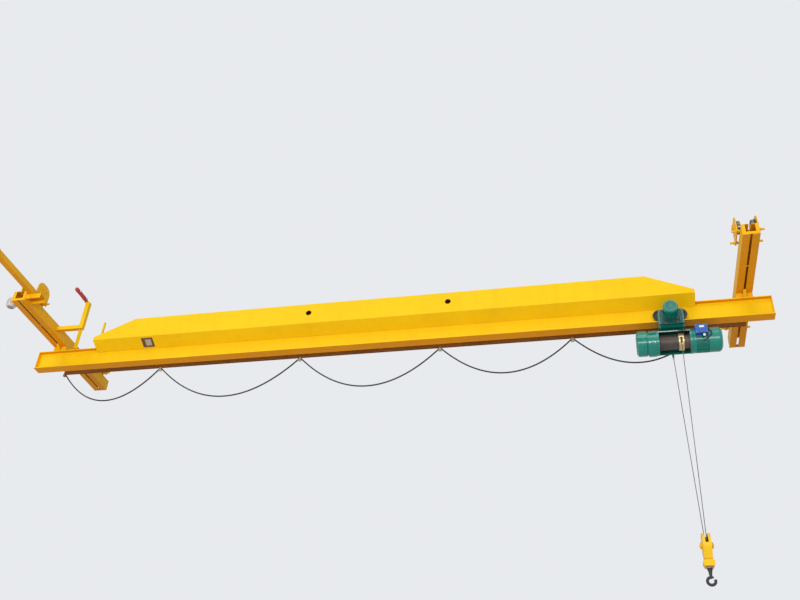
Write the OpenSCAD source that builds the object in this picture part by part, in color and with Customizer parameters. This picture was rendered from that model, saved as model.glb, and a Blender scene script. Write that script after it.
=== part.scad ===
// Overhead bridge crane of the under-running kind: one girder hangs below two end carriages,
// whose wheels roll on the bottom flanges of two runway beams. A wire-rope hoist runs on the girder.
// Origin: middle of the left runway beam, at the height where the wheels roll, half way between
// that carriage's two wheel yokes. +X runs along the girder to the right runway, +Z is up.

/* [Runway and travel] */
// Distance between the middles of the two runway beams
span = 12000; // [11600:50:12250]
// Width of a runway beam's bottom flange
runway_flange_w = 240; // [220:5:256]
// Thickness of a runway beam's bottom flange
runway_flange_t = 16; // [12:1:24]
// Height left between the end carriage and the runway beam
runway_gap = 112; // [100:2:150]
// Distance between the two wheel yokes of one end carriage
wheelbase = 2350; // [2000:10:2500]

/* [Girder beam] */
// Reach of the beam past the middle of each runway beam
beam_reach = 400; // [350:10:700]
// Height of the beam
beam_h = 360; // [345:5:400]
// Width of the beam's bottom flange
beam_w = 180; // [160:2:196]
// Width of the beam's top flange
beam_top_w = 140; // [120:2:150]
// Thickness of the beam's web
beam_web = 10; // [8:1:14]
// Thickness of the beam's flanges
beam_flange = 16; // [12:1:18]

/* [Girder box] */
// Distance between the box's end and the middle of a runway beam
box_inset = 760; // [650:10:1000]
// Length of the box's sloping end
box_slope_len = 755; // [500:5:940]
// Width of the box over its side walls
box_w = 490; // [460:2:520]
// Height of the box's top above the beam's underside
box_h = 807; // [740:1:850]
// Height of the box's lower bend above the beam's underside
crease_h = 405; // [400:1:425]
// Height at which the box's sloping end starts
shoulder_h = 472; // [450:1:520]
// Height at which the slanted plate meets the beam's web
slant_foot_h = 304; // [285:1:306]
// Thickness of the box's plates
box_plate = 6; // [4:1:8]
// Radius of the round holes in the side walls
side_hole_r = 50; // [30:1:60]
// Height of the round holes above the beam's underside
side_hole_h = 623; // [580:1:660]

/* [End carriages] */
// Length of an end carriage
carriage_len = 3080; // [2920:10:3300]
// Width of an end carriage over its two channels
carriage_w = 250; // [236:2:264]
// Height of the carriage's channels
carriage_h = 200; // [180:5:240]
// Thickness of the carriage's channels
carriage_plate = 8; // [6:1:10]
// Width of the slot between the two channels
carriage_slot = 34; // [26:1:44]
// Height left between the beam and the carriage, filled by the hanger
hanger_h = 87; // [75:1:100]
// Thickness of the hanger's plates
hanger_plate = 10; // [8:1:14]
// Reach of the hanger's gussets out from the beam's top flange
gusset_reach = 100; // [70:5:140]
// Width of the frame round a carriage's open end
rim_w = 45; // [30:1:55]

/* [Yokes and wheels] */
// Length of a yoke's side plate along the runway
yoke_len = 360; // [350:2:400]
// Height of a yoke's side plate
yoke_h = 340; // [325:1:380]
// Reach of a yoke's side plate below the rolling height
yoke_drop = 95; // [85:1:100]
// Thickness of a yoke's side plate
yoke_plate = 14; // [10:1:18]
// Radius of a side plate's upper corners
yoke_round = 150; // [110:1:160]
// Distance between a yoke's two tie bolts
tie_pitch = 280; // [250:2:300]
// Radius of a tie bolt
tie_r = 16; // [12:1:18]
// Reach of a tie bolt out from the side plate
tie_reach = 76; // [50:2:90]
// Radius of a travel wheel's tread
wheel_r = 105; // [98:1:112]
// Width of a travel wheel's tread
wheel_w = 45; // [38:1:50]
// Height of a travel wheel's lip above its tread
wheel_lip = 12; // [8:1:15]
// Radius of a travel wheel's axle
axle_r = 22; // [18:1:26]

/* [Bar and collector] */
// Width of the square bar along the runway
bar_w = 100; // [80:2:120]
// Length of that bar
bar_len = 1290; // [600:10:1600]
// Distance between the current collector's post and the carriage's middle
post_x = 600; // [540:5:640]
// Width of the post's square tube
post_w = 75; // [60:1:85]
// Height of the thin post behind the box's left end
far_post_h = 625; // [500:5:700]
// Length of the collector's red shoe
shoe_len = 380; // [300:10:450]
// Height of the post above the arm
post_h = 500; // [400:5:560]
// Distance of the strut's foot from the carriage's middle
strut_foot = 300; // [240:5:360]
// Height of the arm above the beam's underside
arm_h = 600; // [580:1:620]
// Distance of the arm in front of the girder's middle
arm_y = 450; // [400:5:500]

/* [Festoon] */
// Distance of the festoon track from the girder's middle
track_y = 290; // [282:1:330]
// Height of the festoon track's underside above the beam's underside
track_low = 60; // [40:1:90]
// Width of the festoon track
track_w = 40; // [32:1:50]
// Height of the festoon track
track_h = 62; // [40:1:70]
// Thickness of the festoon track's walls
track_t = 3; // [2:0.5:4]
// Place of the tow arm along the girder, from the trolley's middle
tow_x = 505; // [500:1:520]
// Radius of the festoon cable
cable_r = 12; // [8:0.5:14]

/* [Trolley] */
// Distance between the trolley's middle and the right runway
trolley_back = 1175; // [1150:5:1300]
// Distance between the trolley's two axles
trolley_axles = 320; // [300:2:340]
// Radius of a trolley wheel's tread
trolley_wheel_r = 95; // [80:1:100]
// Height of a trolley wheel's lip above its tread
trolley_lip = 12; // [8:1:14]
// Width of a trolley wheel's tread
trolley_tread = 42; // [34:1:46]
// Radius of a trolley wheel's axle
trolley_axle_r = 17; // [14:1:20]
// Thickness of the trolley's side plates
trolley_plate = 16; // [12:1:18]
// Length of the trolley's side plates
trolley_len = 390; // [380:2:400]
// Depth of the trolley's gearcase, out from its side plate
gearcase_d = 110; // [90:2:130]
// Height of the gearcase above the beam's underside
gearcase_top = 130; // [120:1:150]
// Reach of the gearcase below the beam's underside
gearcase_low = 160; // [145:1:165]
// Radius of the trolley's motor
drive_r = 115; // [100:1:120]
// Length of the trolley's motor
drive_len = 190; // [160:2:230]

/* [Hoist] */
// Outer radius of the hoist's housing
hoist_r = 200; // [192:1:206]
// Drop of the hoist's axis below the beam's underside
hoist_drop = 345; // [335:1:352]
// Length of the housing round the drum
housing_len = 495; // [470:1:520]
// Thickness of the housing
housing_t = 8; // [6:1:10]
// Length of the gearbox
gearbox_len = 318; // [290:2:340]
// Length of the hoist's motor
motor_len = 468; // [440:2:490]
// Radius of the rope drum under its rope
drum_r = 115; // [105:1:118]
// Radius of the wire rope
rope_r = 6; // [5:0.5:7]
// Place of the rope guide along the drum, from the trolley's middle
guide_x = 120; // [110:1:130]
// Width of the rope guide
guide_w = 80; // [60:1:90]
// Thickness of the rope guide's ring
guide_t = 24; // [18:1:28]

/* [Hook block] */
// Drop of the sheave's axis below the beam's underside
sheave_drop = 3655; // [3500:5:3800]
// Place of the hook block along the girder, from the trolley's middle
hook_x = 72; // [60:1:90]
// Radius of the sheave's groove
sheave_r = 115; // [105:1:120]
// Width of the sheave
sheave_w = 34; // [32:1:40]
// Width of the block's body
block_w = 112; // [100:2:130]
// Radius of the block's cheeks
cheek_r = 165; // [155:1:175]
// Reach of the block's closed lower body below the sheave's axis
block_low = 200; // [195:1:204]
// Width of the crosshead along the girder
crosshead_w = 155; // [140:1:170]
// Height of the crosshead
crosshead_h = 82; // [70:1:84]
// Reach of the crosshead's underside below the sheave's axis
crosshead_low = 298; // [294:1:320]
// Radius of the hook's shank
shank_r = 19; // [16:1:19]
// Length of the hook's neck between the crosshead and the bowl
neck_len = 120; // [90:2:140]
// Inner radius of the hook's bowl
bowl_r = 34; // [30:1:40]
// Half thickness of the hook's arm
hook_arm_r = 20; // [20:1:24]

/* [Hidden] */

$fn = 64;
eps = 1;
// Clearances: round a shaft, where faces just miss, and beside a wheel
pin_gap = 0.1;
seat_gap = 0.3;
wheel_gap = 10;
flange_gap = 5;
lip_t = 12;

yellow = [0.98, 0.76, 0.05];
teal = [0.05, 0.55, 0.45];
dark_steel = [0.2, 0.2, 0.21];
rail_brown = [0.62, 0.33, 0.12];

beam_len = span + 2 * beam_reach;
box_len = span - 2 * box_inset;
box_top_len = box_len - 2 * box_slope_len;
track_len = span;
trolley_x = span / 2 - trolley_back;
tread_h = beam_h + hanger_h + carriage_h + runway_gap + runway_flange_t;
carriage_top = -runway_flange_t - runway_gap;
carriage_low = carriage_top - carriage_h;
yoke_inner = runway_flange_w / 2 + flange_gap + lip_t + wheel_gap;
side_holes_x = [-span * 0.0987, span * 0.1053];

side_plate_y = beam_w / 2 + flange_gap + lip_t + wheel_gap;
case_y = side_plate_y + trolley_plate;
trolley_axle_h = beam_flange + trolley_wheel_r + seat_gap;
base_t = 16;
housing_left = -233;
housing_right = housing_left + housing_len;
motor_r = hoist_r - 5;
sheave_pin_r = 38;
pin_reach = 27;
// Hook: its mouth's limits in degrees from the top, the bowl's flat, and its shank inside the crosshead
mouth_from = 20;
mouth_to = 72;
bowl_flat = 1.5;
hook_ring_r = bowl_r + hook_arm_r - bowl_flat;
shank_len = 100;
latch_x = 28;
latch_h = hook_ring_r - 5;
latch_w = 20;
latch_pin_r = 3.5;
// Limits of the housing's opening, in degrees from its back, through its top, and round to its lower back
window_top = 150;
window_low = 315;
// Place of the rope's fixed end, on the housing's lower back edge
anchor_x = -15;
anchor_y = 124;

// Places a piece in the girder's own frame: origin under the middle of the beam
module on_girder() {
    translate([span / 2, 0, -tread_h]) children();
}

// Places a piece on the trolley: origin under the beam, at the trolley's middle
module on_trolley() {
    on_girder() translate([trolley_x, 0, 0]) children();
}

// Places a piece on the hoist's axis, which runs along the girder
module on_hoist() {
    on_trolley() translate([0, 0, -hoist_drop]) children();
}

// Places a piece on the hook block, at its sheave's axis
module on_block() {
    on_trolley() translate([hook_x, 0, -sheave_drop]) children();
}

// Draws an outline of the YZ plane as a plate from x0 to x1
module yz_plate(x0, x1) {
    translate([x0, 0, 0]) rotate([90, 0, 90]) linear_extrude(x1 - x0) children();
}

// Draws an outline of the XZ plane as a plate from y0 to y1
module xz_plate(y0, y1) {
    translate([0, y1, 0]) rotate([90, 0, 0]) linear_extrude(y1 - y0) children();
}

// A round bar along X from x0 to x1
module x_bar(x0, x1, r) {
    translate([x0, 0, 0]) rotate([0, 90, 0]) cylinder(h = x1 - x0, r = r);
}

// A round bar along Y from y0 to y1
module y_bar(y0, y1, r) {
    translate([0, y1, 0]) rotate([90, 0, 0]) cylinder(h = y1 - y0, r = r);
}

// A hexagonal nut along X, from x0 to x1
module x_nut(x0, x1, r) {
    translate([x0, 0, 0]) rotate([0, 90, 0]) cylinder(h = x1 - x0, r = r, $fn = 6);
}

// Mirrors a piece to the other side in X or Y where side is -1
module x_side(side) {
    mirror([side < 0 ? 1 : 0, 0, 0]) children();
}
module y_side(side) {
    mirror([0, side < 0 ? 1 : 0, 0]) children();
}

// Web of the girder's beam, which is welded up from three plates
module beam_web_plate() {
    color(yellow) on_girder() translate([-beam_len / 2, -beam_web / 2, beam_flange])
        cube([beam_len, beam_web, beam_h - 2 * beam_flange]);
}

// Top flange of the beam, under the hangers
module beam_top_flange() {
    color(yellow) on_girder() translate([-beam_len / 2, -beam_top_w / 2, beam_h - beam_flange])
        cube([beam_len, beam_top_w, beam_flange]);
}

// Wider bottom flange of the beam, which the hoist's wheels roll on
module beam_bottom_flange() {
    color(yellow) on_girder() translate([-beam_len / 2, -beam_w / 2, 0])
        cube([beam_len, beam_w, beam_flange]);
}

// Side view of the box: its ends slope up from the shoulder to the flat top
module box_side() {
    polygon([[-box_len / 2, crease_h], [box_len / 2, crease_h], [box_len / 2, shoulder_h],
             [box_top_len / 2, box_h], [-box_top_len / 2, box_h], [-box_len / 2, shoulder_h]]);
}

// The pressed trough: two side walls and the top, with round holes through both walls
module girder_box() {
    color(yellow) on_girder() difference() {
        intersection() {
            xz_plate(-box_w / 2, box_w / 2) box_side();
            yz_plate(-box_len / 2, box_len / 2) difference() {
                translate([-box_w / 2, crease_h]) square([box_w, box_h - crease_h]);
                translate([-box_w / 2 + box_plate, crease_h - eps])
                    square([box_w - 2 * box_plate, box_h - crease_h - box_plate + eps]);
            }
        }
        for (x = side_holes_x) translate([x, 0, side_hole_h]) y_bar(-box_w, box_w, side_hole_r);
    }
}

// Slanted plates from the trough's lower edges in to the beam's web, close under its top flange
module box_slants() {
    rise = crease_h - slant_foot_h;
    color(yellow) on_girder() yz_plate(-box_len / 2, box_len / 2) for (side = [0, 1]) mirror([side, 0])
        polygon([[beam_web / 2, slant_foot_h - box_plate], [box_w / 2, slant_foot_h + rise - box_plate],
                 [box_w / 2, crease_h], [box_w / 2 - box_plate, crease_h],
                 [beam_web / 2, slant_foot_h + box_plate / 4]]);
}

// Plates that close the box's ends: sloping ones inside the trough's walls, and upright ones below
module box_ends() {
    inner_w = box_w - 2 * box_plate;
    slope = (box_len - box_top_len) / 2 / (box_h - shoulder_h);
    top = box_h - box_plate;
    tip = beam_top_w / 2 + seat_gap;
    slant = (crease_h - slant_foot_h) / (box_w / 2 - beam_web / 2);
    tip_h = slant_foot_h + box_plate + (tip - beam_web / 2) * slant;
    color(yellow) on_girder() for (side = [-1, 1]) x_side(side) {
        xz_plate(-inner_w / 2, inner_w / 2)
            polygon([[box_len / 2, crease_h], [box_len / 2, shoulder_h],
                     [box_len / 2 - slope * (top - shoulder_h), top],
                     [box_len / 2 - slope * (top - shoulder_h) - 2 * box_plate, top],
                     [box_len / 2 - 2 * box_plate, shoulder_h], [box_len / 2 - 2 * box_plate, crease_h]]);
        yz_plate(box_len / 2 - 2 * box_plate, box_len / 2 - box_plate)
            polygon([[-inner_w / 2, crease_h], [-tip, tip_h], [-tip, beam_h], [tip, beam_h],
                     [tip, tip_h], [inner_w / 2, crease_h]]);
    }
}

// Plates that close the beam's ends, welded on between its flanges
module beam_ends() {
    t = 8;
    color(yellow) on_girder() for (x = [-1, 1], y = [-1, 1]) x_side(x) y_side(y)
        translate([beam_len / 2 - t - 4, beam_web / 2, beam_flange])
            cube([t, beam_top_w / 2 - beam_web / 2, beam_h - 2 * beam_flange]);
}

// Hangers between the beam's top flange and the carriages: a short box with gussets before and behind
module hangers() {
    foot = beam_top_w / 2 - hanger_plate;
    rib = 36;
    color(yellow) on_girder() for (x = [-span / 2, span / 2]) translate([x, 0, beam_h]) {
        difference() {
            translate([-carriage_w / 2, -foot, 0]) cube([carriage_w, 2 * foot, hanger_h]);
            translate([-carriage_w / 2 + hanger_plate, -foot + hanger_plate, -eps])
                cube([carriage_w - 2 * hanger_plate, 2 * (foot - hanger_plate), hanger_h + 2 * eps]);
        }
        for (side = [-1, 1]) y_side(side) yz_plate(-rib / 2, rib / 2)
            polygon([[foot, 0], [beam_top_w / 2, 0], [beam_top_w / 2 + gusset_reach, hanger_h - 14],
                     [beam_top_w / 2 + gusset_reach, hanger_h], [foot, hanger_h]]);
    }
}

// End carriage: two pressed channels whose flanges turn in and leave a slot between them
module carriage(x) {
    reach = (carriage_w - carriage_slot) / 2;
    color(yellow) translate([x, 0, carriage_low]) for (side = [-1, 1]) x_side(side) difference() {
        translate([carriage_slot / 2, -carriage_len / 2, 0]) cube([reach, carriage_len, carriage_h]);
        translate([carriage_slot / 2 - eps, -carriage_len / 2 - eps, carriage_plate])
            cube([reach - carriage_plate + eps, carriage_len + 2 * eps, carriage_h - 2 * carriage_plate]);
    }
}

// Frames in the carriages' open ends, and the ties across their slots
module carriage_rims() {
    inner_w = carriage_w - 2 * carriage_plate;
    inner_h = carriage_h - 2 * carriage_plate;
    color(yellow) for (x = [0, span]) translate([x, 0, carriage_low]) {
        for (side = [-1, 1]) y_side(side) xz_plate(carriage_len / 2 - hanger_plate, carriage_len / 2)
            difference() {
                translate([-inner_w / 2, carriage_plate]) square([inner_w, inner_h]);
                translate([-inner_w / 2 + rim_w, carriage_plate + rim_w])
                    square([inner_w - 2 * rim_w, inner_h]);
            }
        for (y = [-carriage_len / 4, carriage_len / 4])
            translate([-carriage_slot / 2, y, 0]) cube([carriage_slot, hanger_plate, carriage_plate]);
    }
}

// Outline of a yoke's side plate: square below, with large round upper corners
module yoke_outline() {
    w = yoke_len / 2;
    top = yoke_h - yoke_drop;
    translate([-w, -yoke_drop]) square([yoke_len, yoke_h - yoke_round]);
    translate([-w + yoke_round, -yoke_drop]) square([yoke_len - 2 * yoke_round, yoke_h]);
    for (y = [-w + yoke_round, w - yoke_round]) translate([y, top - yoke_round]) circle(r = yoke_round);
}

// A yoke: two side plates, the tie bolts through them, saddles on the carriage and the wheels' axles
module yoke(x, y) {
    tie_z = (carriage_top - runway_flange_t) / 2;
    tie_end = yoke_inner + yoke_plate + tie_reach;
    saddle_x = carriage_w / 2 - 30;
    stub = yoke_inner - wheel_gap - lip_t - wheel_w;
    color(yellow) translate([x, y, 0]) {
        for (end = [-1, 1]) translate([0, end * tie_pitch / 2, tie_z]) x_bar(-tie_end, tie_end, tie_r);
        for (side = [-1, 1]) x_side(side) {
            yz_plate(yoke_inner, yoke_inner + yoke_plate) yoke_outline();
            for (end = [-1, 1]) translate([0, end * tie_pitch / 2, tie_z]) {
                x_nut(yoke_inner + yoke_plate, yoke_inner + yoke_plate + 26, tie_r + 12);
                x_nut(yoke_inner - 20, yoke_inner, tie_r + 12);
            }
            yz_plate(saddle_x - 12, saddle_x) translate([-yoke_len / 2, carriage_top])
                square([yoke_len, tie_z - carriage_top + tie_r + 10]);
            translate([0, 0, wheel_r]) {
                x_bar(yoke_inner + yoke_plate, yoke_inner + yoke_plate + 22, axle_r + 16);
                x_bar(yoke_inner - wheel_gap + seat_gap, yoke_inner, axle_r + 14);
                x_bar(stub - 8, yoke_inner + eps, axle_r);
                x_bar(stub - 18, stub - 8, axle_r + 12);
            }
        }
    }
}

// One travel wheel on an inner or outer stub axle: tread, lip outside the flange, and hub
module travel_wheel(x, y, side) {
    outer = yoke_inner - wheel_gap;
    color(dark_steel) translate([x, y, wheel_r]) x_side(side) translate([outer, 0, 0])
        rotate([0, -90, 0]) difference() {
            union() {
                cylinder(h = lip_t, r = wheel_r + wheel_lip);
                translate([0, 0, lip_t]) cylinder(h = wheel_w, r = wheel_r);
                translate([0, 0, lip_t + wheel_w]) cylinder(h = 6, r = axle_r + 14);
            }
            translate([0, 0, -eps]) cylinder(h = lip_t + wheel_w + 10, r = axle_r + pin_gap);
            translate([0, 0, lip_t + wheel_w - 10]) rotate_extrude()
                translate([axle_r + 20, 0]) square([wheel_r - axle_r - 38, 12]);
        }
}

// Bracket on the left carriage's inner wall, near its end: a channel that opens downwards
module bar_bracket() {
    w = 170;
    h = 90;
    reach = 275;
    t = 8;
    color(yellow) translate([carriage_w / 2, -carriage_len / 2 + 10, carriage_low + 33]) difference() {
        cube([reach, w, h]);
        translate([-eps, t, -t]) cube([reach + 2 * eps, w - 2 * t, h]);
    }
}

// Square tube along the runway, on that bracket, with a plate over its end
module runway_bar() {
    t = 6;
    z = carriage_low + 33 + 90;
    y0 = -carriage_len / 2 + 10 + 170 - bar_len;
    color(yellow) {
        translate([160, y0, z]) difference() {
            cube([bar_w, bar_len, bar_w]);
            translate([t, t, t]) cube([bar_w - 2 * t, bar_len, bar_w - 2 * t]);
        }
        translate([160 - 15, y0 - 12, z]) cube([bar_w + 30, 12, bar_w]);
    }
}

// Travel motor on the left carriage's outer wall, near its end, with its axis upright
module travel_motor() {
    r = 78;
    h = 165;
    color([0.86, 0.84, 0.82])
    translate([-carriage_w / 2 - r - 30, -carriage_len / 2 + 150, carriage_low - 15]) {
        rotate_extrude()
            polygon([[0, 0], [r - 26, 0], [r - 8, 8], [r, 28], [r, h - 24], [r - 12, h], [0, h]]);
        translate([r - 22, -45, 30]) cube([52, 90, 110]);
    }
}

// Frame of the current collector: arm on the carriage's wall, upright post, and a strut down to the beam
module collector_frame() {
    t = 10;
    strut_w = post_w - 12;
    head = [post_x, -arm_y, arm_h - post_w / 2];
    run = [strut_foot, -beam_top_w / 2 + 30, beam_h] - head;
    arm_len = post_x - carriage_w / 2 - post_w / 2;
    color(yellow) on_girder() translate([-span / 2, 0, 0]) {
        translate([carriage_w / 2, -arm_y - post_w / 2, arm_h - post_w]) {
            cube([arm_len, post_w, t]);
            cube([arm_len, t, post_w]);
        }
        translate([post_x - post_w / 2, -arm_y - post_w / 2, arm_h - post_w])
            cube([post_w, post_w, post_h + post_w]);
        difference() {
            translate(head) rotate([0, atan2(-run[2], norm([run[0], run[1]])), atan2(run[1], run[0])])
                translate([0, -strut_w / 2, -strut_w / 2]) cube([norm(run) + 2 * strut_w, strut_w, strut_w]);
            translate([0, -post_x, 0]) cube([post_x + post_w, 2 * post_x, beam_h]);
        }
    }
}

// Thin far post beside the box's end, on the beam's top flange
module collector_far_post() {
    w = 30;
    color(yellow) on_girder() translate([-box_len / 2 - 50 - w / 2, 30, beam_h]) {
        cube([w, w, far_post_h]);
        translate([-30, -20, 0]) cube([w + 60, w + 30, 8]);
    }
}

// Head of the current collector: an arm on the post's top and a long red shoe along the runway
module collector_head() {
    z = arm_h + post_h;
    color([0.75, 0.1, 0.12]) on_girder() translate([-span / 2 + post_x - 50, -arm_y, z]) {
        translate([-25, -shoe_len - 20, 22]) cube([50, shoe_len, 50]);
        translate([-10, -40, 0]) cube([60, 40, 22]);
        for (y = [-shoe_len + 50, -90]) translate([-32, y, 30]) cube([64, 30, 34]);
    }
}

// Festoon track: a C rail, open below, along the girder's far side, with the cable's first clamp
module festoon_track() {
    lip = 9;
    color(rail_brown) on_girder() {
        yz_plate(-track_len / 2, track_len / 2) translate([track_y, track_low]) difference() {
            translate([-track_w / 2, 0]) square([track_w, track_h]);
            translate([-track_w / 2 + track_t, track_t])
                square([track_w - 2 * track_t, track_h - 2 * track_t]);
            translate([-track_w / 2 + lip, -eps]) square([track_w - 2 * lip, track_t + 2 * eps]);
        }
        translate([cable_start - cable_face - clamp_len, track_y - track_w / 2, cable_top - 2 * cable_r])
            cube([clamp_len, track_w, track_low - cable_top + 2 * cable_r]);
    }
}

// Hangers of the festoon track: straps down the box's far wall
module festoon_hangers() {
    t = 8;
    top = crease_h + 60;
    color(yellow) on_girder() for (k = [-3:3]) translate([k * (box_len / 2 - 130) / 3, 0, 0]) {
        yz_plate(-20, 20) {
            translate([box_w / 2, track_low + track_h]) square([t, top - track_low - track_h]);
            translate([box_w / 2, track_low + track_h]) square([track_y + track_w / 2 - box_w / 2, t]);
        }
    }
}

// Places of the cable carriers and of the cable's ends along the girder, from its middle
cable_start = 40 - span / 2;
cable_end = trolley_x + tow_x;
carrier_x = [for (share = [0.1674, 0.401, 0.6212, 0.8176]) cable_start + share * (cable_end - cable_start)];
clamp_len = 40;
// Drop of a carrier's saddle below the track, and the saddle's radius
saddle_drop = 62;
saddle_r = 29;
cable_top = track_low - saddle_drop + saddle_r + seat_gap + cable_r;
// Room for the tilted end face of the cable
cable_face = cable_r * 0.75;

// A cable carrier: two pairs of rollers in the track, a plate down from them and the cable's saddle
module carrier(x) {
    color([0.75, 0.74, 0.7]) on_girder() translate([x, track_y, track_low]) {
        translate([-20, -2, -saddle_drop + saddle_r + 2 * cable_r + 4])
            cube([40, 4, saddle_drop - saddle_r - 2 * cable_r - 4 + 16]);
        for (dx = [-12, 12], side = [-1, 1]) y_side(side)
            translate([dx, 0, track_t + 8 + seat_gap]) y_bar(1, 13, 8);
        for (side = [-1, 1]) y_side(side) {
            translate([-20, cable_r + 2, -saddle_drop]) cube([40, 4, saddle_r + 2 * cable_r + 8]);
            translate([-20, 0, -saddle_drop + saddle_r + 2 * cable_r + 4]) cube([40, cable_r + 6, 4]);
        }
        translate([0, 0, -saddle_drop]) difference() {
            y_bar(-cable_r - 6, cable_r + 6, saddle_r);
            translate([-saddle_r - eps, -cable_r - 10, -saddle_r - eps])
                cube([2 * saddle_r + 2 * eps, 2 * cable_r + 20, saddle_r - 6]);
        }
    }
}

// Route of the festoon cable in the girder's XZ plane: over each saddle's top, and down in between
cable_ends = concat([cable_start], carrier_x, [cable_end]);
cable_sag = [600, 660, 640, 560, 540];
saddle_line = saddle_r + seat_gap + cable_r;
saddle_angle = 46;
saddle_side = saddle_line * sin(saddle_angle);
saddle_fall = saddle_line * (1 - cos(saddle_angle));
function cable_loop(i, x0, x1, z0, z1) = [for (k = [0:12]) let (t = k / 12)
    [x0 + (x1 - x0) * t, z0 + (z1 - z0) * t - 4 * (cable_sag[i] - saddle_fall) * t * (1 - t)]];
function over_saddle(x) = [for (a = [-0.75 * saddle_angle:saddle_angle / 4:0.75 * saddle_angle])
    [x + saddle_line * sin(a), cable_top - saddle_line * (1 - cos(a))]];
cable_points = [for (i = [0:4])
    let (x0 = cable_ends[i] + (i == 0 ? 0 : saddle_side), x1 = cable_ends[i + 1] - (i == 4 ? 0 : saddle_side),
         z0 = cable_top - (i == 0 ? 0 : saddle_fall), z1 = cable_top - (i == 4 ? 0 : saddle_fall))
    for (p = concat(cable_loop(i, x0, x1, z0, z1), i == 4 ? [] : over_saddle(cable_ends[i + 1]))) p];

// A tube swept along points, with a ring across the route at each; across is never along the route
module swept_tube(points, across, r, sides) {
    n = len(points);
    rings = [for (i = [0:n - 1])
        let (d = points[min(i + 1, n - 1)] - points[max(i - 1, 0)],
             right = cross(d, across) / norm(cross(d, across)), up = cross(right, d) / norm(d))
        for (k = [0:sides - 1]) let (a = 360 * k / sides) points[i] + r * (cos(a) * right + sin(a) * up)];
    walls = [for (i = [0:n - 2]) for (k = [0:sides - 1]) let (m = (k + 1) % sides)
        [i * sides + k, (i + 1) * sides + k, (i + 1) * sides + m, i * sides + m]];
    first = [for (k = [0:sides - 1]) k];
    last = [for (k = [sides - 1:-1:0]) (n - 1) * sides + k];
    polyhedron(points = rings, faces = concat(walls, [first], [last]));
}

// Festoon cable: black, from the track's clamp over the four carriers to the tow arm
module festoon_cable() {
    color([0.08, 0.08, 0.08]) on_girder()
        swept_tube([for (p = cable_points) [p[0], track_y, p[1]]], [0, 1, 0], cable_r, 8);
}

// Arm that tows the cable: up from the motor's back to a clamp at the cable's end
module tow_arm() {
    x = cable_end + cable_face - trolley_x;
    foot = -hoist_drop + 100;
    color(teal) on_trolley() difference() {
        translate([x, 0, 0]) {
            yz_plate(0, clamp_len) polygon([[120, foot], [track_y - 16, cable_top - 2 * cable_r - 12],
                [track_y + 22, cable_top - 2 * cable_r - 12], [track_y + 22, cable_top - 2 * cable_r],
                [track_y - 22, cable_top - 2 * cable_r], [120, foot + 26]]);
            translate([0, track_y - 22, cable_top - 2 * cable_r])
                cube([clamp_len, 44, track_low - cable_top + 2 * cable_r - wheel_gap / 2]);
        }
        translate([0, 0, -hoist_drop]) x_bar(0, housing_right + motor_len, motor_r + seat_gap);
    }
}

// Outline of a trolley side plate: straight below, with cut upper corners
module side_outline() {
    w = trolley_len / 2;
    top = trolley_axle_h + 40;
    polygon([[-w, -hoist_drop + hoist_r], [w, -hoist_drop + hoist_r], [w, top - 50], [w - 60, top],
             [-w + 60, top], [-w, top - 50]]);
}

// A trolley side plate with its two stub axles
module trolley_side(side) {
    color(teal) on_trolley() y_side(side) {
        xz_plate(side_plate_y, case_y) side_outline();
        for (x = [-trolley_axles / 2, trolley_axles / 2]) translate([x, 0, trolley_axle_h]) {
            y_bar(side_plate_y - wheel_gap - lip_t - trolley_tread - 8, side_plate_y + eps, trolley_axle_r);
            y_bar(side_plate_y - wheel_gap + seat_gap, side_plate_y, trolley_axle_r + 10);
            if (side > 0) y_bar(case_y, case_y + 12, trolley_axle_r + 8);
        }
    }
}

// Base plate between the side plates, with two saddles that fit the hoist's housing
module trolley_base() {
    saddle = 50;
    color(teal) on_trolley() difference() {
        union() {
            translate([-trolley_len / 2, -side_plate_y, -hoist_drop + hoist_r])
                cube([trolley_len, 2 * side_plate_y, base_t]);
            for (side = [-1, 1]) x_side(side)
                translate([trolley_len / 2 - 34, -90, -hoist_drop + hoist_r - saddle])
                    cube([14, 180, saddle]);
        }
        translate([0, 0, -hoist_drop]) x_bar(-trolley_len, trolley_len, hoist_r);
    }
}

// Gearcase on the near side plate, with cut corners
module trolley_gearcase() {
    w = trolley_len / 2 - 4;
    color(teal) on_trolley() xz_plate(-case_y - gearcase_d, -case_y)
        polygon([[-w + 18, -gearcase_low], [w - 18, -gearcase_low], [w, -gearcase_low + 25],
                 [w, gearcase_top - 38], [w - 32, gearcase_top],
                 [-w + 32, gearcase_top], [-w, gearcase_top - 38],
                 [-w, -gearcase_low + 25]]);
}

// Motor on the gearcase, with its axis across the girder
module trolley_drive() {
    color(teal) on_trolley() translate([-5, -case_y - gearcase_d, 60]) rotate([90, 0, 0]) rotate_extrude()
        polygon([[0, 0], [drive_r + 4, 0], [drive_r + 4, 16], [drive_r - 8, 16],
                 [drive_r - 8, drive_len - 60], [drive_r, drive_len - 60], [drive_r, drive_len - 16],
                 [drive_r - 16, drive_len], [0, drive_len]]);
}

// One trolley wheel: lip outside the beam's flange, tread and bore
module trolley_wheel(x, side) {
    color(dark_steel) on_trolley() translate([x * trolley_axles / 2, 0, trolley_axle_h]) y_side(side)
        translate([0, side_plate_y - wheel_gap, 0]) rotate([90, 0, 0]) difference() {
            union() {
                cylinder(h = lip_t, r = trolley_wheel_r + trolley_lip);
                cylinder(h = lip_t + trolley_tread, r = trolley_wheel_r);
            }
            translate([0, 0, -eps])
                cylinder(h = lip_t + trolley_tread + 2 * eps, r = trolley_axle_r + pin_gap);
            translate([0, 0, lip_t + trolley_tread - 12]) rotate_extrude()
                translate([trolley_axle_r + 14, 0]) square([trolley_wheel_r - trolley_axle_r - 28, 14]);
        }
}

// A point on a circle round the hoist's axis, in the YZ plane
function round_hoist(r, a) = [r * cos(a), r * sin(a)];

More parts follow.
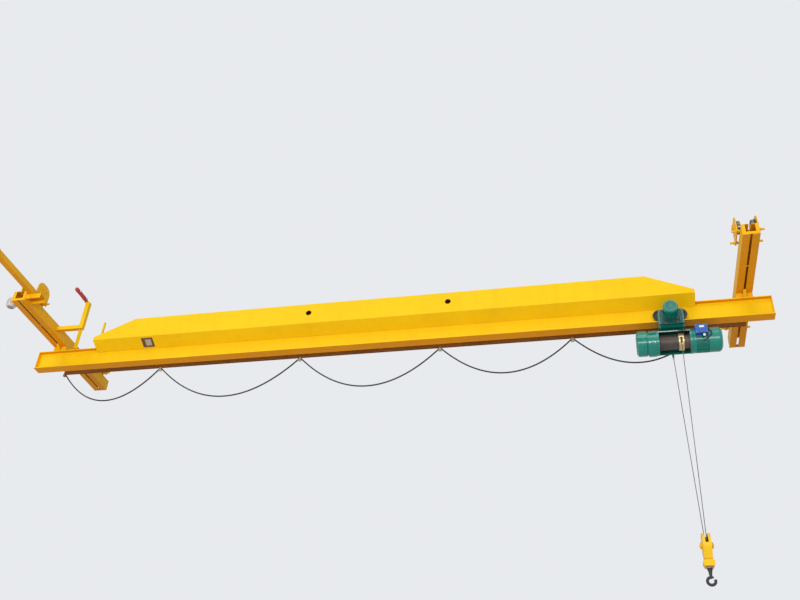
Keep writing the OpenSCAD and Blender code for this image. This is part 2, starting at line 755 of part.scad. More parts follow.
// Housing round the drum: a rolled plate over the top and back, open in front and below,
// with the lug that holds the rope's fixed end
module hoist_shell() {
    far = 2 * hoist_r;
    mid = hoist_r - housing_t / 2;
    color(teal) on_hoist() {
        difference() {
            x_bar(housing_left, housing_right, hoist_r);
            x_bar(housing_left - eps, housing_right + eps, hoist_r - housing_t);
            yz_plate(housing_left + 16, housing_right - 16) polygon([[0, 0],
                round_hoist(far, window_top), round_hoist(far, 190), round_hoist(far, 230),
                round_hoist(far, 270), round_hoist(far, window_low)]);
        }
        yz_plate(anchor_x - 15, anchor_x + 15)
            polygon([round_hoist(mid, window_low + 12), round_hoist(mid, window_low),
                     [anchor_y - 16, -mid], [anchor_y + 16, -mid]]);
    }
}

// Pale bar along the upper edge of the housing's opening
module hoist_bar() {
    a = window_top + 4;
    color([0.86, 0.86, 0.84]) on_hoist() translate([0, (hoist_r + 6) * cos(a), (hoist_r + 6) * sin(a)])
        x_bar(housing_left + 2, housing_right - 2, 6);
}

// Gearbox on the drum's left end: a stepped round casting with a flange
module hoist_gearbox() {
    g = gearbox_len;
    color(teal) on_hoist() translate([housing_left - g, 0, 0]) rotate([0, 90, 0]) rotate_extrude()
        polygon([[0, 0], [hoist_r - 30, 0], [hoist_r - 8, 10], [hoist_r - 3, 30], [hoist_r - 3, g * 0.45],
                 [hoist_r - 14, g * 0.48], [hoist_r - 14, g - 22], [hoist_r, g - 22], [hoist_r, g], [0, g]]);
}

// Hoist motor on the drum's right end, with fins and a round end
module hoist_motor() {
    m = motor_len;
    fin_r = motor_r;
    color(teal) on_hoist() translate([housing_right, 0, 0]) {
        rotate([0, 90, 0]) rotate_extrude()
            polygon([[0, 0], [hoist_r, 0], [hoist_r, 24], [motor_r, 40], [motor_r, 72], [motor_r - 18, 72],
                     [motor_r - 18, 255], [motor_r, 255], [motor_r, m - 46], [motor_r - 14, m - 20],
                     [motor_r - 46, m], [0, m]]);
        for (k = [0:17]) rotate([k * 20, 0, 0]) translate([71, -5, motor_r - 30]) cube([185, 10, 28]);
    }
}

// Control box on the motor's upper front
module control_box() {
    color([0.05, 0.33, 0.75]) on_hoist() difference() {
        translate([housing_right + 69, -262, -23]) cube([182, 150, 148]);
        x_bar(0, housing_right + motor_len, motor_r + seat_gap);
    }
}

// Rope guide: a brass ring round the drum, with the slot that the rope leaves through
module rope_guide() {
    inner = drum_r + seat_gap;
    color([0.86, 0.78, 0.5]) on_hoist() difference() {
        x_bar(guide_x - guide_w / 2, guide_x + guide_w / 2, inner + guide_t);
        x_bar(guide_x - guide_w, guide_x + guide_w, inner);
        translate([guide_x - 3 * rope_r, -inner - 2 * guide_t, -inner])
            cube([6 * rope_r, 3 * guide_t, inner + eps]);
    }
}

// Rope drum with a collar at each end
module rope_drum() {
    color([0.37, 0.29, 0.27]) on_hoist() {
        x_bar(housing_left + seat_gap, housing_right - seat_gap, 50);
        x_bar(housing_left + 6, housing_right - 6, drum_r);
        x_bar(housing_left + 6, housing_left + 20, drum_r + 22);
        x_bar(housing_right - 20, housing_right - 6, drum_r + 22);
    }
}

// The rope: one fall leaves the drum in front, turns round the sheave, and the other fall
// ends on the housing's lug behind
module rope_falls() {
    reach = sheave_r + rope_r + seat_gap;
    turn = [for (t = [0:5:180]) [hook_x, -reach * cos(t), -sheave_drop - reach * sin(t)]];
    color([0.5, 0.47, 0.45]) on_trolley()
        swept_tube(concat([[guide_x, -drum_r - rope_r - seat_gap, -hoist_drop]], turn,
                          [[anchor_x, anchor_y, -hoist_drop - hoist_r + housing_t / 2]]),
                   [1, 0, 0], rope_r, 12);
}

// Hook block: two cheeks round the sheave with its pin, a closed lower body and the crosshead
module hook_block() {
    slot = sheave_w / 2 + 4;
    slot_r = cheek_r - 14;
    foot_w = 72;
    joint_w = 60;
    crosshead_d = 65;
    tangent = atan2(-block_low, foot_w) + acos(cheek_r / norm([foot_w, block_low]));
    color([0.98, 0.8, 0.1]) on_block() {
        difference() {
            union() {
                yz_plate(-block_w / 2, block_w / 2) {
                    circle(r = cheek_r);
                    polygon([[0, 0], [-cheek_r * cos(tangent), cheek_r * sin(tangent)], [-foot_w, -block_low],
                             [foot_w, -block_low], [cheek_r * cos(tangent), cheek_r * sin(tangent)]]);
                }
                x_bar(-block_w / 2 - pin_reach, block_w / 2 + pin_reach, sheave_pin_r);
                translate([-block_w / 2 + 6, -joint_w, -crosshead_low + crosshead_h - 4])
                    cube([block_w - 12, 2 * joint_w, crosshead_low - crosshead_h - block_low + 8]);
                xz_plate(-crosshead_d, crosshead_d) crosshead_outline();
            }
            x_bar(-slot, slot, slot_r);
            translate([-slot, -cheek_r - eps, -10]) cube([2 * slot, 2 * cheek_r + 2 * eps, cheek_r + 20]);
            translate([0, 0, -crosshead_low - eps]) cylinder(h = shank_len + 10, r = shank_r + pin_gap);
        }
        x_bar(-slot - eps, slot + eps, sheave_pin_r);
    }
}

// The crosshead's outline, with its lower corners cut back
module crosshead_outline() {
    w = crosshead_w / 2;
    cut = 20;
    top = crosshead_h - crosshead_low;
    polygon([[-w + cut, -crosshead_low], [w - cut, -crosshead_low], [w, -crosshead_low + 2 * cut],
             [w, top], [-w, top], [-w, -crosshead_low + 2 * cut]]);
}

// Sheave with a grooved rim
module sheave() {
    rim = 12;
    groove = 2.5 * rope_r;
    color(dark_steel) on_block() rotate([0, 90, 0]) rotate_extrude() difference() {
        translate([sheave_pin_r + pin_gap, -sheave_w / 2])
            square([sheave_r + rim - sheave_pin_r - pin_gap, sheave_w]);
        translate([sheave_r + groove, 0]) circle(r = groove);
    }
}

// Places a piece at the middle of the hook's bowl
module on_bowl() {
    on_block() translate([0, 0, -crosshead_low - neck_len - hook_arm_r - hook_ring_r]) children();
}

// The hook: a shank in the crosshead, a neck that narrows from its collar, a round bowl with a tip,
// and two ears with the latch's pin
module hook() {
    far = 3 * hook_ring_r;
    neck_low = hook_ring_r + hook_arm_r;
    collar_r = 38;
    color(dark_steel) on_bowl() {
        difference() {
            rotate([90, 0, 0]) rotate_extrude() intersection() {
                translate([hook_ring_r, 0]) circle(r = hook_arm_r);
                translate([bowl_r, -hook_arm_r]) square(2 * hook_arm_r);
            }
            xz_plate(-2 * hook_arm_r, 2 * hook_arm_r)
                polygon([[0, 0], [far * sin(mouth_from), far * cos(mouth_from)], [far, far],
                         [far * sin(mouth_to), far * cos(mouth_to)]]);
        }
        rotate_extrude() polygon([
            [0, hook_ring_r], [shank_r, hook_ring_r], [shank_r, neck_low],
            [shank_r + 8, neck_low + 0.5 * neck_len],
            [collar_r, neck_low + 0.75 * neck_len], [collar_r, neck_low + neck_len - seat_gap],
            [shank_r, neck_low + neck_len - seat_gap], [shank_r, neck_low + neck_len + shank_len],
            [0, neck_low + neck_len + shank_len]]);
        for (side = [-1, 1]) y_side(side) xz_plate(latch_w / 2 + 1, latch_w / 2 + 5)
            polygon([[-7, latch_h], [latch_x + 5, latch_h - 7],
                     [latch_x + 7, latch_h + 7], [8, latch_h + 20]]);
        translate([latch_x, 0, latch_h]) y_bar(-latch_w / 2 - 5, latch_w / 2 + 5, latch_pin_r);
    }
}

// Spring latch across the hook's mouth: a sleeve on the ears' pin and a tongue to the hook's tip
module hook_latch() {
    reach = 30.5;
    color([0.75, 0.75, 0.74]) on_bowl() translate([latch_x, 0, latch_h]) difference() {
        union() {
            y_bar(-latch_w / 2, latch_w / 2, latch_pin_r + 2.5);
            xz_plate(-latch_w / 2, latch_w / 2) polygon([[-5, 0], [7, -reach], [11, -reach], [0, 0]]);
        }
        y_bar(-latch_w, latch_w, latch_pin_r + pin_gap);
    }
}

beam_web_plate();
beam_top_flange();
beam_bottom_flange();
girder_box();
box_slants();
box_ends();
beam_ends();
hangers();
carriage(0);  // carriage_left
carriage(span);  // carriage_right
carriage_rims();
yoke(0, -wheelbase / 2);  // yoke_left_near
yoke(0, wheelbase / 2);  // yoke_left_far
yoke(span, -wheelbase / 2);  // yoke_right_near
yoke(span, wheelbase / 2);  // yoke_right_far
travel_wheel(0, -wheelbase / 2, -1);  // wheel_left_near_a
travel_wheel(0, -wheelbase / 2, 1);  // wheel_left_near_b
travel_wheel(0, wheelbase / 2, -1);  // wheel_left_far_a
travel_wheel(0, wheelbase / 2, 1);  // wheel_left_far_b
travel_wheel(span, -wheelbase / 2, -1);  // wheel_right_near_a
travel_wheel(span, -wheelbase / 2, 1);  // wheel_right_near_b
travel_wheel(span, wheelbase / 2, -1);  // wheel_right_far_a
travel_wheel(span, wheelbase / 2, 1);  // wheel_right_far_b
bar_bracket();
runway_bar();
travel_motor();
collector_frame();
collector_far_post();
collector_head();
festoon_track();
festoon_hangers();
festoon_cable();
carrier(carrier_x[0]);  // carrier_1
carrier(carrier_x[1]);  // carrier_2
carrier(carrier_x[2]);  // carrier_3
carrier(carrier_x[3]);  // carrier_4
trolley_side(-1);  // trolley_near
trolley_side(1);  // trolley_far
trolley_base();
trolley_gearcase();
trolley_drive();
trolley_wheel(-1, -1);  // trolley_wheel_near_left
trolley_wheel(1, -1);  // trolley_wheel_near_right
trolley_wheel(-1, 1);  // trolley_wheel_far_left
trolley_wheel(1, 1);  // trolley_wheel_far_right
hoist_shell();
hoist_bar();
hoist_gearbox();
hoist_motor();
control_box();
rope_guide();
tow_arm();
rope_drum();
rope_falls();
hook_block();
sheave();
hook();
hook_latch();
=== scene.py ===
import math
import bmesh
import bpy
import numpy as np
from mathutils import Matrix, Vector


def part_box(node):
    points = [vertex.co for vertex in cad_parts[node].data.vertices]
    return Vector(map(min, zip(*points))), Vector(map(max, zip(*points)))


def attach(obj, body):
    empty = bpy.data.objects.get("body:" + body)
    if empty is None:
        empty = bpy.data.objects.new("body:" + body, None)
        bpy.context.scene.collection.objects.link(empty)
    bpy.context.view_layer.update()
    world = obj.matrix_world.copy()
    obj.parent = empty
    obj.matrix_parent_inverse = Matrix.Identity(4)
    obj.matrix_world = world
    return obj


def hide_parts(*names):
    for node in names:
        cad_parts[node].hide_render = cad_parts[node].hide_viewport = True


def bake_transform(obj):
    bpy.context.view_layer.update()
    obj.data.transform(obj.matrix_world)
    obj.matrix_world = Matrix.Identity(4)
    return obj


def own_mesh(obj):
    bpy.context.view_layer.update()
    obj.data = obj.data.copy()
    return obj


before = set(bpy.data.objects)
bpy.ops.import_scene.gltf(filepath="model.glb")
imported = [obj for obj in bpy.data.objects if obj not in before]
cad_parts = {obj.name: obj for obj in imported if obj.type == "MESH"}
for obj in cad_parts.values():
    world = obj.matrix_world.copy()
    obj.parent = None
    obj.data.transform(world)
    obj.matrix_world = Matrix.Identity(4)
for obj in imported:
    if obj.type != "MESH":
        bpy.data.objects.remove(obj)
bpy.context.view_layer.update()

# Studio: a pale concrete floor well below the crane, a wide soft lamp low on the viewer's side, a weak one
# from the roof, and a camera that looks up at the girder from the shop floor. The air is pale where the
# camera or a reflection sees it, and dimmer where it only lights the crane.
focal_px, photo_w, sensor_mm = 942.996, 800, 36
standing_at = (9.688, -12.9436, -9.3868)
right = np.array([0.976, 0.21129, 0.0527])
forward = np.array([-0.2021, 0.78873, 0.58057])
forward /= np.linalg.norm(forward)
right -= forward * (right @ forward)
right /= np.linalg.norm(right)
up = np.cross(right, forward)
camera = bpy.data.objects.new("camera", bpy.data.cameras.new("camera"))
bpy.context.scene.collection.objects.link(camera)
turned_to = [[right[k], up[k], -forward[k], standing_at[k]] for k in range(3)]
camera.matrix_world = Matrix(turned_to + [[0, 0, 0, 1]])
camera.data.sensor_width = sensor_mm
camera.data.lens = focal_px / photo_w * sensor_mm
camera.data.clip_end = 200
bpy.context.scene.camera = camera
bpy.context.scene.view_settings.view_transform = "Standard"
floor_mesh = bpy.data.meshes.new("floor")
floor_x, floor_y, floor_z = (-34, 46), (-40, 40), -11
floor_corners = [(x, y, floor_z) for y in floor_y for x in floor_x]
floor_mesh.from_pydata(floor_corners, [], [(0, 1, 3, 2)])
floor = bpy.data.objects.new("floor", floor_mesh)
bpy.context.scene.collection.objects.link(floor)
floor_paint = bpy.data.materials.new("floor_concrete")
floor_paint.use_nodes = True
floor_paint.node_tree.nodes["Principled BSDF"].inputs["Base Color"].default_value = (0.72, 0.72, 0.71, 1)
floor_paint.node_tree.nodes["Principled BSDF"].inputs["Roughness"].default_value = 0.9
floor_mesh.materials.append(floor_paint)
world = bpy.data.worlds.new("studio_air")
bpy.context.scene.world = world
world.use_nodes = True
air, links = world.node_tree.nodes, world.node_tree.links
path = air.new("ShaderNodeLightPath")
seen = air.new("ShaderNodeMath")
seen.operation = "MAXIMUM"
links.new(path.outputs["Is Camera Ray"], seen.inputs[0])
links.new(path.outputs["Is Transmission Ray"], seen.inputs[1])
reflected = air.new("ShaderNodeMath")
reflected.operation = "MAXIMUM"
links.new(seen.outputs[0], reflected.inputs[0])
links.new(path.outputs["Is Glossy Ray"], reflected.inputs[1])
on_the_crane, to_the_camera = 0.5, 0.85
level = air.new("ShaderNodeMapRange")
level.inputs["To Min"].default_value = on_the_crane
level.inputs["To Max"].default_value = to_the_camera
links.new(reflected.outputs[0], level.inputs["Value"])
air["Background"].inputs["Color"].default_value = (0.95, 0.97, 1.0, 1)
links.new(level.outputs["Result"], air["Background"].inputs["Strength"])
window = bpy.data.objects.new("window_light", bpy.data.lights.new("window_light", "AREA"))
bpy.context.scene.collection.objects.link(window)
window.data.shape = "RECTANGLE"
window.data.size, window.data.size_y = 30, 3.5
window.data.energy = 3300
window.matrix_world = Matrix([[1, 0, 0, 5], [0, -0.342, -0.94, -24], [0, 0.94, -0.342, -7.2], [0, 0, 0, 1]])
window.visible_camera = False
sky = bpy.data.objects.new("roof_light", bpy.data.lights.new("roof_light", "SUN"))
bpy.context.scene.collection.objects.link(sky)
sky.data.energy = 0.8
sky.data.angle = math.radians(40)
sky.rotation_euler = (math.radians(46), 0, math.radians(-15))


# Girder: a beam welded from three plates, with a pressed trough above it on slanted plates, all sprayed in
# yellow enamel. Weld lines run along the slanted plates and round the ends, and the bottom flange is rubbed
# bright where the hoist's wheels roll.
def finish(name, rgb, metal=0.0, rough=(0.3, 0.5), tone=0.12, dust=0.2, rust=0.0, grain=90.0, bump=0.0006,
           stretch=(1, 1, 1), streaks=0.0, underside_shade=0.0, sheen=0.5):
    """A coat or bare metal. Colour is rgb times a slow noise, darkened by streaks that a noise stretched
    along Z gives. Faces that look down get painted shade, browner by underside_shade; faces that look up
    fade to dust, and where a fine noise passes a threshold the colour turns to rust. Roughness runs between
    its two values with a middle noise, and the bump is a fine noise, stretched where brushed."""
    streak_brown, rust_brown = (0.35, 0.27, 0.2, 1), (0.16, 0.07, 0.03, 1)
    shade_brown, dust_grey = (0.86, 0.53, 0.5, 1), (0.33, 0.3, 0.26, 1)
    mat = bpy.data.materials.new(name)
    mat.use_nodes = True
    n, l = mat.node_tree.nodes, mat.node_tree.links
    shader = n["Principled BSDF"]
    place = n.new("ShaderNodeTexCoord").outputs["Object"]

    def noise(scale, detail, along=(1, 1, 1)):
        turn = n.new("ShaderNodeMapping")
        turn.inputs["Scale"].default_value = along
        cloud = n.new("ShaderNodeTexNoise")
        cloud.inputs["Scale"].default_value = scale
        cloud.inputs["Detail"].default_value = detail
        l.new(place, turn.inputs["Vector"])
        l.new(turn.outputs["Vector"], cloud.inputs["Vector"])
        return cloud.outputs["Fac"]

    def span(value, a, b, low, high):
        scale = n.new("ShaderNodeMapRange")
        for key, number in (("From Min", a), ("From Max", b), ("To Min", low), ("To Max", high)):
            scale.inputs[key].default_value = number
        l.new(value, scale.inputs["Value"])
        return scale.outputs["Result"]

    def mix(mode, share, first, second):
        node = n.new("ShaderNodeMix")
        node.data_type = "RGBA"
        node.blend_type = mode
        for socket, given in ((node.inputs[0], share), (node.inputs[6], first), (node.inputs[7], second)):
            if isinstance(given, (float, tuple)):
                socket.default_value = given
            else:
                l.new(given, socket)
        return node.outputs[2]

    slow = span(noise(1.7, 3), 0.3, 0.7, 0.0, 1.0)
    dark = tuple(c * (1 - tone) for c in rgb) + (1,)
    light = tuple(min(1.0, c * (1 + tone / 2)) for c in rgb) + (1,)
    colour = mix("MIX", slow, dark, light)
    if streaks:
        washed = span(noise(9, 4, (1, 1, 0.08)), 0.45, 0.8, 0.0, streaks)
        colour = mix("MULTIPLY", washed, colour, streak_brown)
    if rust:
        spots = span(noise(26, 8), 0.66 - rust, 0.72 - rust, 0.0, 0.85)
        colour = mix("MIX", spots, colour, rust_brown)
    facing = n.new("ShaderNodeSeparateXYZ")
    l.new(n.new("ShaderNodeNewGeometry").outputs["Normal"], facing.inputs[0])
    # Painted shade: faces that look down are multiplied towards brown, the shade that falls under the crane.
    if underside_shade:
        colour = mix("MULTIPLY", span(facing.outputs["Z"], -0.93, -1.0, 0.0, underside_shade), colour, shade_brown)
    if dust:
        colour = mix("MIX", span(facing.outputs["Z"], 0.3, 1.0, 0.0, dust), colour, dust_grey)
    l.new(colour, shader.inputs["Base Color"])
    l.new(span(noise(7, 5), 0.3, 0.7, rough[0], rough[1]), shader.inputs["Roughness"])
    shader.inputs["Metallic"].default_value = metal
    shader.inputs["Specular IOR Level"].default_value = sheen
    skin = n.new("ShaderNodeBump")
    skin.inputs["Distance"].default_value = bump
    skin.inputs["Strength"].default_value = 0.7
    l.new(noise(grain, 3, stretch), skin.inputs["Height"])
    l.new(skin.outputs["Normal"], shader.inputs["Normal"])
    return mat


def dress(mat, *names):
    """Gives CAD nodes their finish by filling every material slot."""
    for name in names:
        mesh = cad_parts[name].data
        for k in range(len(mesh.materials)):
            mesh.materials[k] = mat
        if not mesh.materials:
            mesh.materials.append(mat)


def piece(name, shape, mat, body, smooth=True, bevel=0.0):
    """Makes one object at the origin from a shape's whole arrays of points and faces, closes its poles and
    seams, rounds its edges by bevel, and lets it ride on its body."""
    points, faces = shape
    mesh = bpy.data.meshes.new(name)
    mesh.from_pydata(np.asarray(points, float).reshape(-1, 3).tolist(), [],
                     [list(map(int, f)) for f in faces])
    work = bmesh.new()
    work.from_mesh(mesh)
    bmesh.ops.remove_doubles(work, verts=work.verts, dist=1e-6)
    work.to_mesh(mesh)
    work.free()
    mesh.materials.append(mat)
    mesh.polygons.foreach_set("use_smooth", [smooth] * len(mesh.polygons))
    made = bpy.data.objects.new(name, mesh)
    bpy.context.scene.collection.objects.link(made)
    if bevel:
        edge = made.modifiers.new("edge", "BEVEL")
        edge.width = bevel
        edge.segments = 2
        edge.limit_method = "ANGLE"
    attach(made, body)
    return made


def grid_faces(rows, cols, wrap=True):
    """Faces of a grid of rows by cols points: each joins a point, the next in its row, and the two in the row
    after it. With wrap, the last column joins the first."""
    i, j = np.meshgrid(np.arange(rows - 1), np.arange(cols if wrap else cols - 1), indexing="ij")
    k = (j + 1) % cols
    corners = np.stack([i * cols + j, i * cols + k, (i + 1) * cols + k, (i + 1) * cols + j], -1)
    return corners.reshape(-1, 4).tolist()


def bead(a, b, size=0.005, pitch=0.012):
    """Weld bead from a to b: a ring of eight points carried along the line, its radius rippling with the
    sine of the distance, and drawn in to a point at both ends."""
    a, b = np.array(a, float), np.array(b, float)
    length = np.linalg.norm(b - a)
    along = (b - a) / length
    side = np.cross(along, (0.31, 0.47, 0.83))
    side /= np.linalg.norm(side)
    other = np.cross(along, side)
    t = np.linspace(0, length, max(8, int(length / pitch * 3)))
    r = size * (1 + 0.16 * np.sin(2 * np.pi * t / pitch)) * np.clip(np.minimum(t, length - t) / size, 0, 1)
    turn = np.arange(8) * np.pi / 4
    ring = np.cos(turn)[:, None] * side + np.sin(turn)[:, None] * other
    points = a + t[:, None, None] * along + r[:, None, None] * ring
    return points.reshape(-1, 3), grid_faces(len(t), 8)


def together(parts):
    """Joins several (points, faces) pairs into one, with the faces of each moved on by the points before
    it."""
    points, faces, start = [], [], 0
    for p, f in parts:
        points.append(np.asarray(p, float).reshape(-1, 3))
        faces += [[k + start for k in face] for face in f]
        start += len(points[-1])
    return np.concatenate(points), faces


# The yellow and the weld paint take painted shade, a deeper orange brown, on faces that look down.
yellow = finish("yellow_enamel", (0.97, 0.585, 0.004), rough=(0.4, 0.55), tone=0.04, dust=0.45, grain=45,
                bump=0.0004, streaks=0.07, underside_shade=1.0, sheen=0.12)
weld = finish("painted_weld", (0.9, 0.5, 0.006), rough=(0.45, 0.6), grain=300, bump=0.0012, underside_shade=0.8,
              sheen=0.2)
dress(yellow, "beam_web_plate", "beam_top_flange", "beam_bottom_flange", "girder_box", "box_slants",
      "box_ends", "beam_ends")


def middle(node):
    """The middle of a CAD node's box."""
    return np.mean(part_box(node), axis=0)


def mirrored(a, b, size=0.005, pitch=0.012):
    """The same weld bead on both sides of the girder, at y and at minus y."""
    return [bead((a[0], s * a[1], a[2]), (b[0], s * b[1], b[2]), size, pitch) for s in (-1, 1)]


(box_left, _, slant_foot), (box_right, box_side, box_foot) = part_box("box_slants")
(beam_left, _, web_low), (beam_right, web_side, _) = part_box("beam_web_plate")
flange_side, beam_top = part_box("beam_top_flange")[1][1:]
carriage_x = [middle(node)[0] for node in ("carriage_left", "carriage_right")]
carriage_half, weld_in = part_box("carriage_left")[1][0], 0.0099
seams = mirrored((box_left + weld_in, web_side + 0.002, slant_foot),
                 (box_right - weld_in, web_side + 0.002, slant_foot), 0.006)
seams += mirrored((box_left + weld_in, box_side + 0.001, box_foot - 0.002),
                  (box_right - weld_in, box_side + 0.001, box_foot - 0.002), 0.003, 0.02)
for x, inward in ((box_left, 1), (box_right, -1)):
    wall_x, slant_x = x + 0.006 * inward, x + 0.003 * inward
    seams += mirrored((wall_x, box_side - 0.009, box_foot + 0.002),
                      (wall_x, box_side - 0.009, box_foot + 0.065))
    seams += mirrored((slant_x, box_side - 0.025, box_foot + 0.002),
                      (slant_x, web_side + 0.07, slant_foot + 0.042))
end_weld = 0.32
for x in (beam_left + 0.012, beam_right - 0.012):
    y, z = flange_side - 0.002, web_low + 0.004
    seams += mirrored((x, y, z), (x, y, z + end_weld), 0.004)
for x in carriage_x:
    seams += mirrored((x - carriage_half, 0.061, beam_top + 0.002),
                      (x + carriage_half, 0.061, beam_top + 0.002))
    for u in (-0.02, 0.02):
        seams += mirrored((x + u, flange_side, beam_top + 0.007), (x + u, 0.165, beam_top + 0.07), 0.004)
piece("girder_welds", together(seams), weld, "crane")
rubbed = finish("rubbed_track", (0.34, 0.3, 0.24), metal=0.85, rough=(0.28, 0.45), tone=0.25, dust=0.0,
                rust=0.05, grain=60, bump=0.0003, stretch=(0.05, 1, 1))
rolled_x, rolled_y = (-0.05, 11.75), (0.037, 0.083)
strips = [(x, s * y, web_low + 0.0001) for s in (-1, 1) for x in rolled_x for y in rolled_y]
piece("rolling_strips", (strips, [(0, 1, 3, 2), (4, 6, 7, 5)]), rubbed, "crane", smooth=False)


# Nameplate: a dark plate with rolled edges, held by four rivets on the near slanted plate at the left, with a
# paler field in its middle. It carries nothing.
def turned(profile, centre, axis, steps=48, start=0.0, sweep=2 * np.pi):
    """Surface of revolution: each (distance along the axis, radius) of the profile goes round the axis, so
    the points are centre + axis times distance + radius times the turning direction. The ends may close on
    the axis."""
    axis = np.array(axis, float)
    axis /= np.linalg.norm(axis)
    side = np.cross(axis, (0.0, 0.0, 1.0) if abs(axis[2]) < 0.9 else (0.0, 1.0, 0.0))
    side /= np.linalg.norm(side)
    other = np.cross(axis, side)
    full = abs(sweep - 2 * np.pi) < 1e-6
    turn = start + np.arange(steps if full else steps + 1) * sweep / steps
    out = np.cos(turn)[:, None] * side + np.sin(turn)[:, None] * other
    profile = np.array(profile, float)
    points = np.array(centre, float) + profile[:, None, :1] * axis + profile[:, None, 1:] * out
    faces = grid_faces(len(profile), len(turn), wrap=full)
    return points.reshape(-1, 3), faces


def studs(places, axis, radius, height, domed=False):
    """A bolt head or nut at each place, standing on its face along axis: a hexagonal prism with a chamfered
    top on a thin washer, or a plain dome of three rings where domed is set."""
    if domed:
        rise = np.linspace(0, np.pi / 2, 4)
        profile = [(height * np.sin(a), radius * np.cos(a)) for a in rise]
        return together([turned(profile, p, axis, 10) for p in places])
    washer = [(0, 0), (0, radius * 1.35), (height * 0.18, radius * 1.35), (height * 0.18, radius)]
    head = [(height * 0.18, radius), (height * 0.86, radius), (height, radius * 0.82), (height, 0)]
    shapes = ((washer, 16), (head, 6))
    return together([turned(profile, p, axis, steps) for p in places for profile, steps in shapes])


def slab(outline, low, high, origin, directions):
    """A plate: an outline of (u, v) points, drawn from origin on the first two directions, at heights low
    and high along the third. The sign of its area says which way its faces have to run."""
    across, up_to, normal = np.array(directions, float)
    flat = np.array(origin, float) + np.array(outline, float) @ np.stack([across, up_to])
    count = len(outline)
    points = np.concatenate([flat + normal * low, flat + normal * high])
    area = sum(a[0] * b[1] - a[1] * b[0] for a, b in zip(outline, outline[1:] + outline[:1]))
    walls = [(k, (k + 1) % count, (k + 1) % count + count, k + count) for k in range(count)]
    faces = [tuple(range(count))[::-1], tuple(range(count, 2 * count))] + walls
    runs_outward = np.cross(across, up_to) @ normal * area > 0
    return points, faces if runs_outward else [f[::-1] for f in faces]


def oblong(w, h):
    """Corners of a rectangle of width w and height h round the origin."""
    return [(-w / 2, -h / 2), (w / 2, -h / 2), (w / 2, h / 2), (-w / 2, h / 2)]


bare_plate = finish("bare_plate", (0.62, 0.6, 0.55), metal=0.6, rough=(0.35, 0.55), tone=0.2, dust=0.1,
                    rust=0.02, grain=200, bump=0.0002, stretch=(0.1, 1, 1))
slant_run, slant_rise = 0.24, 0.101
slant_len = np.hypot(slant_run, slant_rise)
up_slant = np.array([0, -slant_run, slant_rise]) / slant_len
off_slant = np.array([0, -slant_rise, -slant_run]) / slant_len
on_slant = ((1, 0, 0), up_slant, off_slant)
plate_at = np.array([1.80, -0.125, -0.4265]) + off_slant * 0.0005
plate_w, plate_h, plate_t, rivet_in = 0.22, 0.2, 0.003, 0.012
plate_brown = finish("plate_brown", (0.16, 0.07, 0.035), rough=(0.4, 0.6), tone=0.2, dust=0.1, grain=120,
                     bump=0.0004)
piece("nameplate_blank", slab(oblong(plate_w, plate_h), 0, plate_t, plate_at, on_slant), plate_brown, "crane",
      smooth=False, bevel=0.001)
field = slab(oblong(0.11, 0.13), plate_t, plate_t + 0.0012, plate_at + (0.012, 0, 0), on_slant)
piece("nameplate_field", field, bare_plate, "crane", smooth=False)
corners = oblong(plate_w - 2 * rivet_in, plate_h - 2 * rivet_in)
rivets = [plate_at + off_slant * plate_t + (u, 0, 0) + v * up_slant for u, v in corners]
piece("nameplate_rivets", studs(rivets, off_slant, 0.005, 0.003, domed=True), bare_plate, "crane")


# End carriages: two pressed channels each, open at the ends, with welded frames and ties. Their enamel is
# the girder's yellow turned deeper orange, the paint's colour with painted shade in it, their faces that
# look down take painted shade as well, and the frames are welded all round.
carriage_paint_and_shade = finish("carriage_enamel_and_shade", (0.93, 0.48, 0.006), rough=(0.42, 0.58), tone=0.05, dust=0.5,
                        grain=45, bump=0.0004, streaks=0.15, underside_shade=0.75, sheen=0.15)
dress(carriage_paint_and_shade, "carriage_left", "carriage_right", "carriage_rims", "bar_bracket", "runway_bar",
      "hangers")
carriage_low, carriage_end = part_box("carriage_left")[0][2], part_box("carriage_left")[1][1]
rim_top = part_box("carriage_rims")[1][2]
(bracket_x, bracket_near, bracket_low), (_, bracket_far, bracket_top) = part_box("bar_bracket")
(bar_left, bar_end, bar_low), (bar_right, _, bar_top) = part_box("runway_bar")
seams = []
for x in carriage_x:
    rim_x, y, foot = carriage_half - 0.008, carriage_end + 0.0005, carriage_low + 0.008
    for u in (-rim_x, rim_x):
        seams += mirrored((x + u, y, foot), (x + u, y, rim_top), 0.004)
    seams += mirrored((x - 0.115, y, foot + 0.0005), (x + 0.115, y, foot + 0.0005), 0.004)
    for u, tie in ((u, tie) for u in (-0.017, 0.017) for tie in (-0.77, 0.77)):
        z = carriage_low - 0.0005
        seams.append(bead((x + u, tie - 0.005, z), (x + u, tie + 0.015, z), 0.004))
for x in (bar_left + 0.015, bar_right - 0.015):
    seams.append(bead((x, bracket_near, bracket_top + 0.0005), (x, bracket_far, bracket_top + 0.0005)))
for z in (bracket_low + 0.002, bracket_top - 0.001):
    seams.append(bead((bracket_x + 0.0015, bracket_near, z), (bracket_x + 0.0015, bracket_far, z)))
for z in (bar_low, bar_top):
    seams.append(bead((bar_left + 0.015, bar_end + 0.0115, z), (bar_right - 0.015, bar_end + 0.0115, z),
                      0.004))
piece("carriage_welds", together(seams), weld, "crane")


